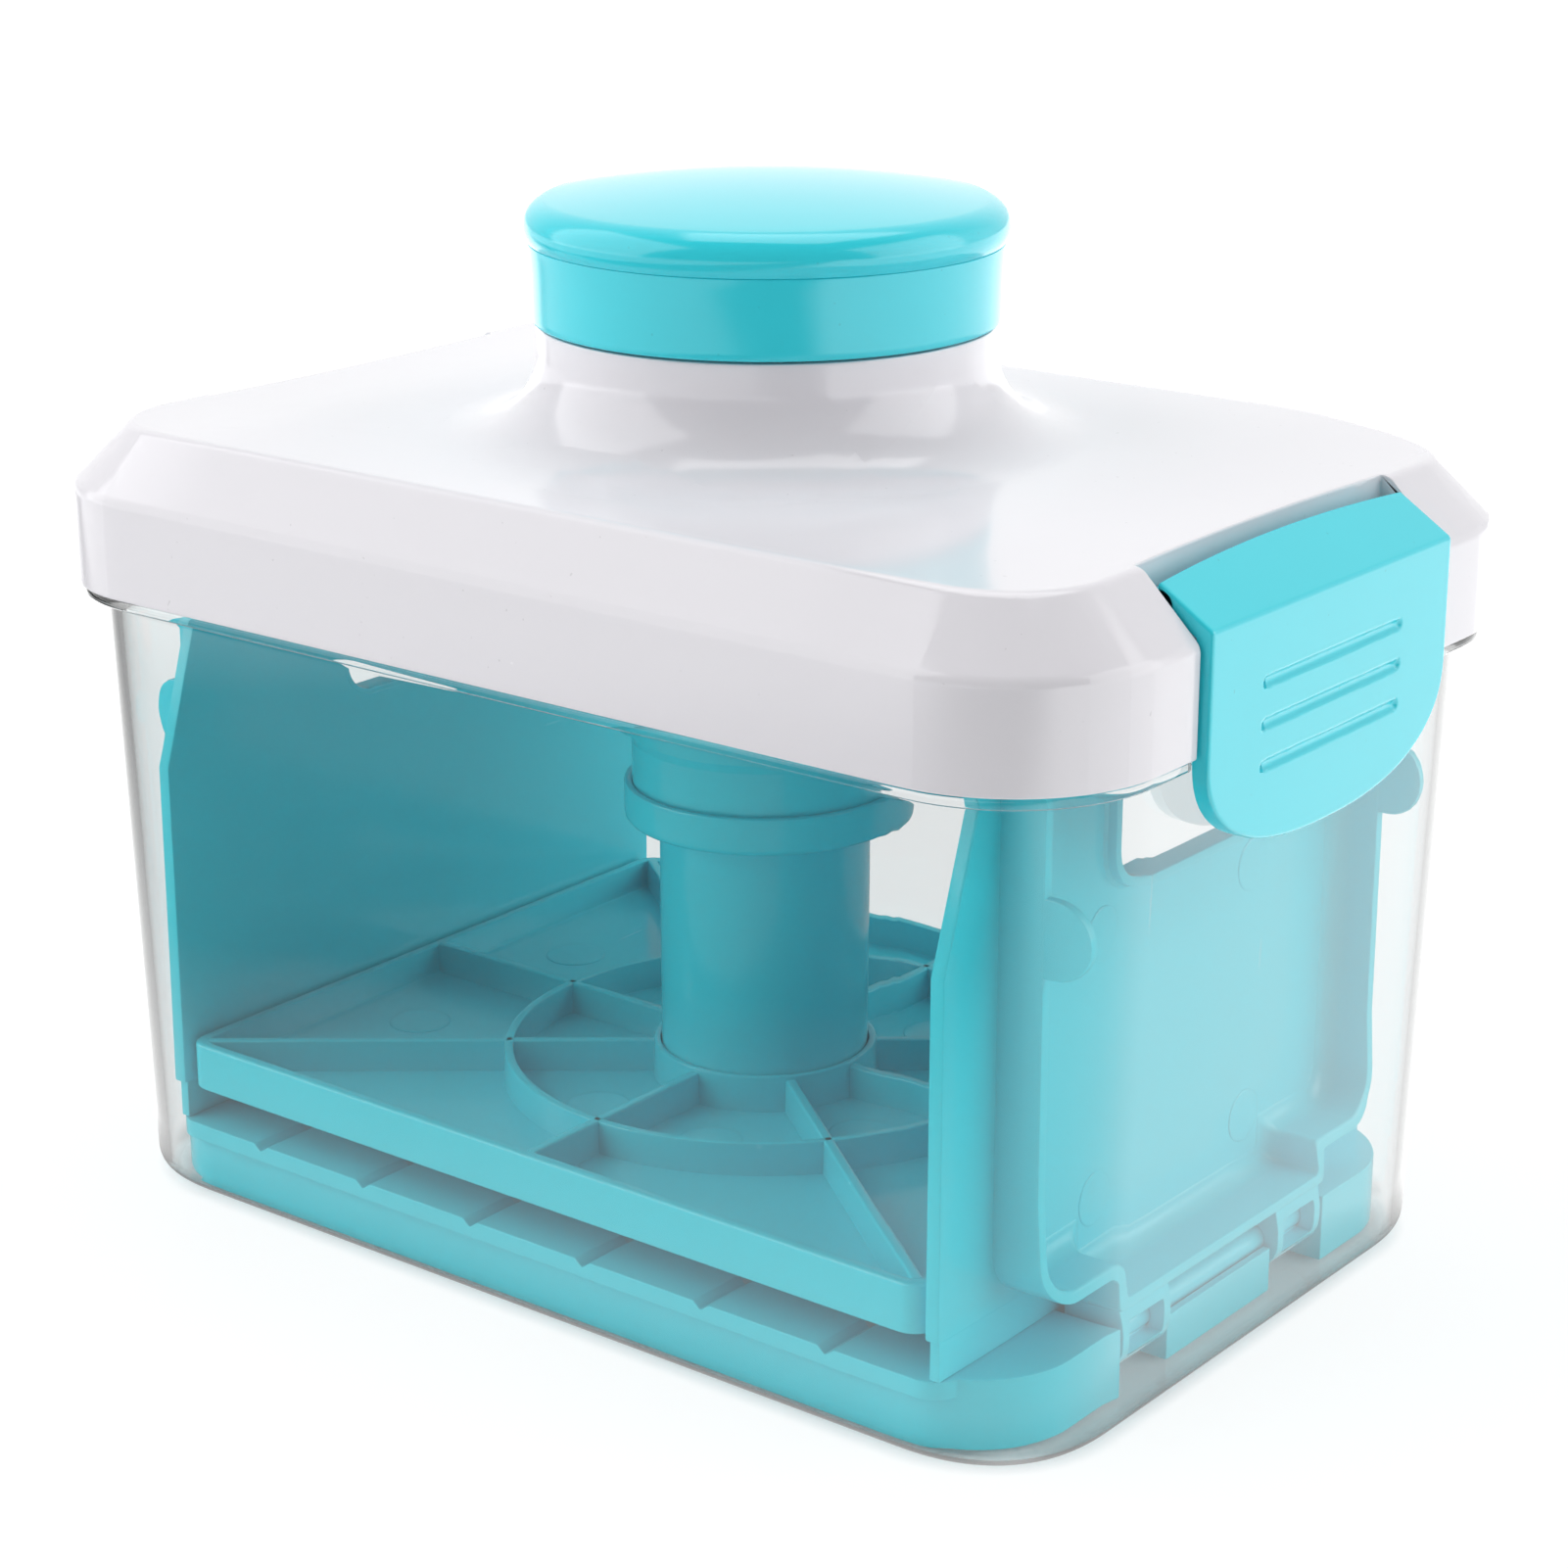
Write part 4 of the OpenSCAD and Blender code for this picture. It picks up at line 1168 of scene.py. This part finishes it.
def panel_ear(y0, y1):
    """Round ear at the panel's edge, which keeps it from leaning."""
    line = [(65.9, EAR_Z - 5)] + arc(72.9, EAR_Z, 5, 5, -90, 90, 14) + [(65.9, EAR_Z + 5)]
    return Solid().prism(line, side_view, y0, y1)


def hinge_lug(y0, y1):
    """One hinge lug, and the window and bore that are taken out of it."""
    line = [(66.2, 13.0), (66.2, ROD_Z)] + arc(ROD_X, ROD_Z, 4.2, 4.2, 190, 360, 20)
    line += [(73.8, 9.5), (73.2, 13.0)]
    window = Solid().block(71.0, 75.6, y0 + 1.6, y1 - 1.6, 6.1, 10.7)
    bore = Solid().along_y([(0, -30), (2.0, -30), (2.0, 30), (0, 30)], ROD_X, ROD_Z)
    return Solid().prism(line, side_view, y0, y1), [window, bore]


def panel_marks():
    """Ejector marks on the panel's outer face."""
    mark = ejector_mark(3.6, sizes().mark_height / MM)
    turn = Matrix.Rotation(math.radians(90), 3, "Y")
    bmesh.ops.rotate(mark.bm, matrix=turn, verts=mark.bm.verts)
    spots = [(WEB_X, s * y, z, 0) for s in (-1, 1) for y, z in ((16.5, 58.1), (16.7, 22.8))]
    return spread(mark, spots, "teal_gloss")


class TOFU_OT_panels(bpy.types.Operator):
    """Both end panels with their pan walls, ears, finger slots and hinge lugs."""

    bl_idname = "tofu.panels"
    bl_label = "End panels"

    def execute(self, context):
        edge = sizes().moulded_edge / MM
        for side, turned in (("right", False), ("left", True)):
            piece = Piece("panel_" + side)
            sheet, slot = panel_web()
            piece.add(sheet, edge, 2, 30, cut=[slot])
            foot = Solid().block(PANEL_X + 0.3, WEB_X - 0.3, -49.5, 49.5, DECK + 0.05, 16.4)
            piece.add(foot, 0.2)
            piece.add(pan_wall())
            for s in (-1, 1):
                piece.add(panel_ear(*sorted((s * 38.0, s * 39.4))), edge, 2, 30)
            piece.add(slot_rim())
            for s in (-1, 1):
                lug, holes = hinge_lug(*sorted((s * 13.1, s * 24.1)))
                piece.add(lug, 0.25, 2, 30, cut=holes)
            piece.add(panel_marks())
            piece.ready("end_panel_" + side, "teal_gloss", "end_panel_" + side, turned=turned)

            half = 27.5
            rod = [(0, -half), (1.7, -half), (2.0, 0.3 - half), (2.0, 0)]
            rod += [(2.0, half - 0.3), (1.7, half), (0, half)]
            rod_piece = Piece("rod_" + side).add(Solid().along_y(rod, ROD_X, ROD_Z))
            rod_piece.ready("end_panel_" + side, "teal_gloss", "hinge_rod_" + side, turned=turned)
        return {"FINISHED"}


# ---------- stage ----------

CAMERA_TARGET = Vector((1.74, 1.36, 59.66)) * MM
CAMERA_AZIMUTH = 38.03
CAMERA_ELEVATION = 18.14
CAMERA_DISTANCE = 484.18 * MM
CAMERA_LENS = 81.54


def seen_from(azimuth, elevation, distance):
    a, e = math.radians(azimuth), math.radians(elevation)
    return Vector((math.cos(e) * math.sin(a), -math.cos(e) * math.cos(a), math.sin(e))) * distance


def aimed(thing, azimuth, elevation, distance):
    """Puts a camera or lamp in the scene, pointing at the object's middle."""
    bpy.context.scene.collection.objects.link(thing)
    thing.location = CAMERA_TARGET + seen_from(azimuth, elevation, distance)
    thing.rotation_euler = (CAMERA_TARGET - thing.location).to_track_quat("-Z", "Y").to_euler()
    return thing


# Lamps: name, azimuth and elevation in degrees, distance and width in metres, watts
LAMPS = (
    ("key", -50, 27, 1.5, 1.8, 19.5),
    ("fill", 115, 21, 1.6, 1.6, 14.5),
    ("top", 200, 78, 1.4, 1.0, 7.3),
)
WHITE = (1, 1, 1, 1)

# Strengths of the room: its light, what shows behind the object, and what the object's gloss mirrors
WORLD_LIGHT = 0.25
FLOOR_GLOW = 1.12
THROUGH_TUB = 0.95
WORLD_GLOSS = 1.4
FLOOR_GLOSS = 2.35
DARK_ROOM = 0.09
INSIDE_GLOSS = 0.42

FLOOR_HALF = 12.0
FOOT_CORNER_X, FOOT_CORNER_Y = 61, 34
FOOT_CORNER_R = 16.5


def floor_material():
    """Pale paint that takes the object's shadow; what the gloss mirrors of it is bright or dim by place, with
    a painted shadow close round the tub's foot.
    """
    f = Finish(bpy.data.materials.new("pale_floor"))
    paint = f.node("ShaderNodeBsdfDiffuse", {}, {"Color": (0.91, 0.91, 0.91, 1)})
    glow, through, bright, dim, faint = (
        f.node("ShaderNodeEmission", {}, {"Color": WHITE, "Strength": strength})
        for strength in (FLOOR_GLOW, THROUGH_TUB, FLOOR_GLOSS, DARK_ROOM, INSIDE_GLOSS)
    )
    where = f.node("ShaderNodeTexCoord", out="Object")
    far = f.node("ShaderNodeVectorMath", {"operation": "LENGTH"}, {0: where}, out="Value").over(0.9, 1.2)
    behind = f.along(where, (0.35, 1, 0)).over(-0.10, 0.12)
    left = f.along(where, (-0.574, -0.819, 0)).over(0.315, 0.05)
    past_x = (f.along(where, (1, 0, 0)).math("ABSOLUTE") - FOOT_CORNER_X * MM).either(0)
    past_y = (f.along(where, (0, 1, 0)).math("ABSOLUTE") - FOOT_CORNER_Y * MM).either(0)
    off = (past_x * past_x + past_y * past_y).math("SQRT")
    beside = off.over(FOOT_CORNER_R * MM, 5 * MM)
    # Painted shadow: what the gloss mirrors of the floor is dimmed within a few millimetres of the tub's
    # foot.
    outside_painted_shadow = off.over(24 * MM, 13 * MM) * 0.85 + 0.15
    seen = f.shade(f.ray("Transmission"), glow, through)
    plain = f.shade(f.straight() * beside * (far * 0.25 + 0.75), paint, seen)
    room = f.shade(f.inside(), f.shade(behind.either(left * 0.6) * outside_painted_shadow, dim, bright), faint)
    return f.end(f.shade(f.mirrored(), plain, room))


def pale_floor():
    bm = bmesh.new()
    bmesh.ops.create_grid(bm, x_segments=8, y_segments=8, size=FLOOR_HALF)
    mesh = bpy.data.meshes.new("floor")
    bm.to_mesh(mesh)
    bm.free()
    mesh.materials.append(floor_material())
    floor = bpy.data.objects.new("floor", mesh)
    bpy.context.scene.collection.objects.link(floor)
    return floor


def square_lamp(name, wide, watts):
    lamp = bpy.data.lights.new(name, "AREA")
    lamp.shape = "RECTANGLE"
    lamp.size = wide
    lamp.size_y = wide
    lamp.energy = watts
    return bpy.data.objects.new(name, lamp)


def studio_world():
    """Soft even light; the gloss mirrors two bright panels in a dim room."""
    w = Finish(bpy.data.worlds.new("studio"))
    soft, white, through, box, dim, faint = (
        w.node("ShaderNodeBackground", {}, {"Color": WHITE, "Strength": strength})
        for strength in (WORLD_LIGHT, 1.0, THROUGH_TUB, WORLD_GLOSS, DARK_ROOM, INSIDE_GLOSS)
    )
    way = w.node("ShaderNodeTexCoord", out="Generated")
    left_panel = w.along(way, (-0.5, 0.8, 0.33)).over(0.6, 0.9)
    panel = left_panel.either(w.along(way, (0.6, 0.8, 0)).over(0.75, 0.4))
    seen = w.shade(w.ray("Transmission"), white, through)
    room = w.shade(w.inside(), w.shade(panel, dim, box), faint)
    studio = w.shade(w.mirrored(), w.shade(w.straight(), soft, seen), room)
    return w.end(studio, "ShaderNodeOutputWorld")


class TOFU_OT_stage(bpy.types.Operator):
    """Floor, lamps, world and camera."""

    bl_idname = "tofu.stage"
    bl_label = "Stage"

    def execute(self, context):
        scene = context.scene
        camera = bpy.data.cameras.new("camera")
        camera.lens = CAMERA_LENS
        camera.sensor_width = 36
        camera.clip_start = 0.01
        scene.camera = bpy.data.objects.new("camera", camera)
        made = [aimed(scene.camera, CAMERA_AZIMUTH, CAMERA_ELEVATION, CAMERA_DISTANCE), pale_floor()]
        for name, azimuth, elevation, distance, wide, watts in LAMPS:
            made.append(aimed(square_lamp(name, wide, watts), azimuth, elevation, distance))
        scene.world = studio_world()
        scene.view_settings.view_transform = "Standard"
        return {"FINISHED"}


class TOFU_PT_panel(bpy.types.Panel):
    bl_label = "Tofu Press"
    bl_space_type = "VIEW_3D"
    bl_region_type = "UI"
    bl_category = "Tofu Press"

    def draw(self, context):
        for kind in OPERATORS:
            self.layout.operator(kind.bl_idname)


OPERATORS = (
    TOFU_OT_stage,
    TOFU_OT_tub,
    TOFU_OT_lid,
    TOFU_OT_knob,
    TOFU_OT_column,
    TOFU_OT_spring,
    TOFU_OT_plunger,
    TOFU_OT_latches,
    TOFU_OT_tray,
    TOFU_OT_panels,
)
CLASSES = (PressSizes, PressColours, *OPERATORS, TOFU_PT_panel)


def register():
    for kind in CLASSES:
        bpy.utils.register_class(kind)
    bpy.types.Scene.press_sizes = PointerProperty(type=PressSizes)
    bpy.types.Scene.press_colours = PointerProperty(type=PressColours)


def unregister():
    del bpy.types.Scene.press_colours
    del bpy.types.Scene.press_sizes
    for kind in reversed(CLASSES):
        bpy.utils.unregister_class(kind)


def main():
    register()
    paint = colours()
    MATERIALS["teal_gloss"] = moulded_plastic("turquoise_plastic", paint.turquoise, 0.15, 0.05)
    MATERIALS["lid_white"] = moulded_plastic("white_plastic", paint.white, 0.13, 0.008)
    MATERIALS["tub_clear"] = clear_plastic("clear_plastic", paint.clear)
    MATERIALS["steel"] = bright_steel("bright_steel", paint.steel)
    bpy.ops.tofu.stage()
    bpy.ops.tofu.tub()
    bpy.ops.tofu.lid()
    bpy.ops.tofu.knob()
    bpy.ops.tofu.column()
    bpy.ops.tofu.spring()
    bpy.ops.tofu.plunger()
    bpy.ops.tofu.latches()
    bpy.ops.tofu.tray()
    bpy.ops.tofu.panels()


if __name__ == "__main__":
    main()
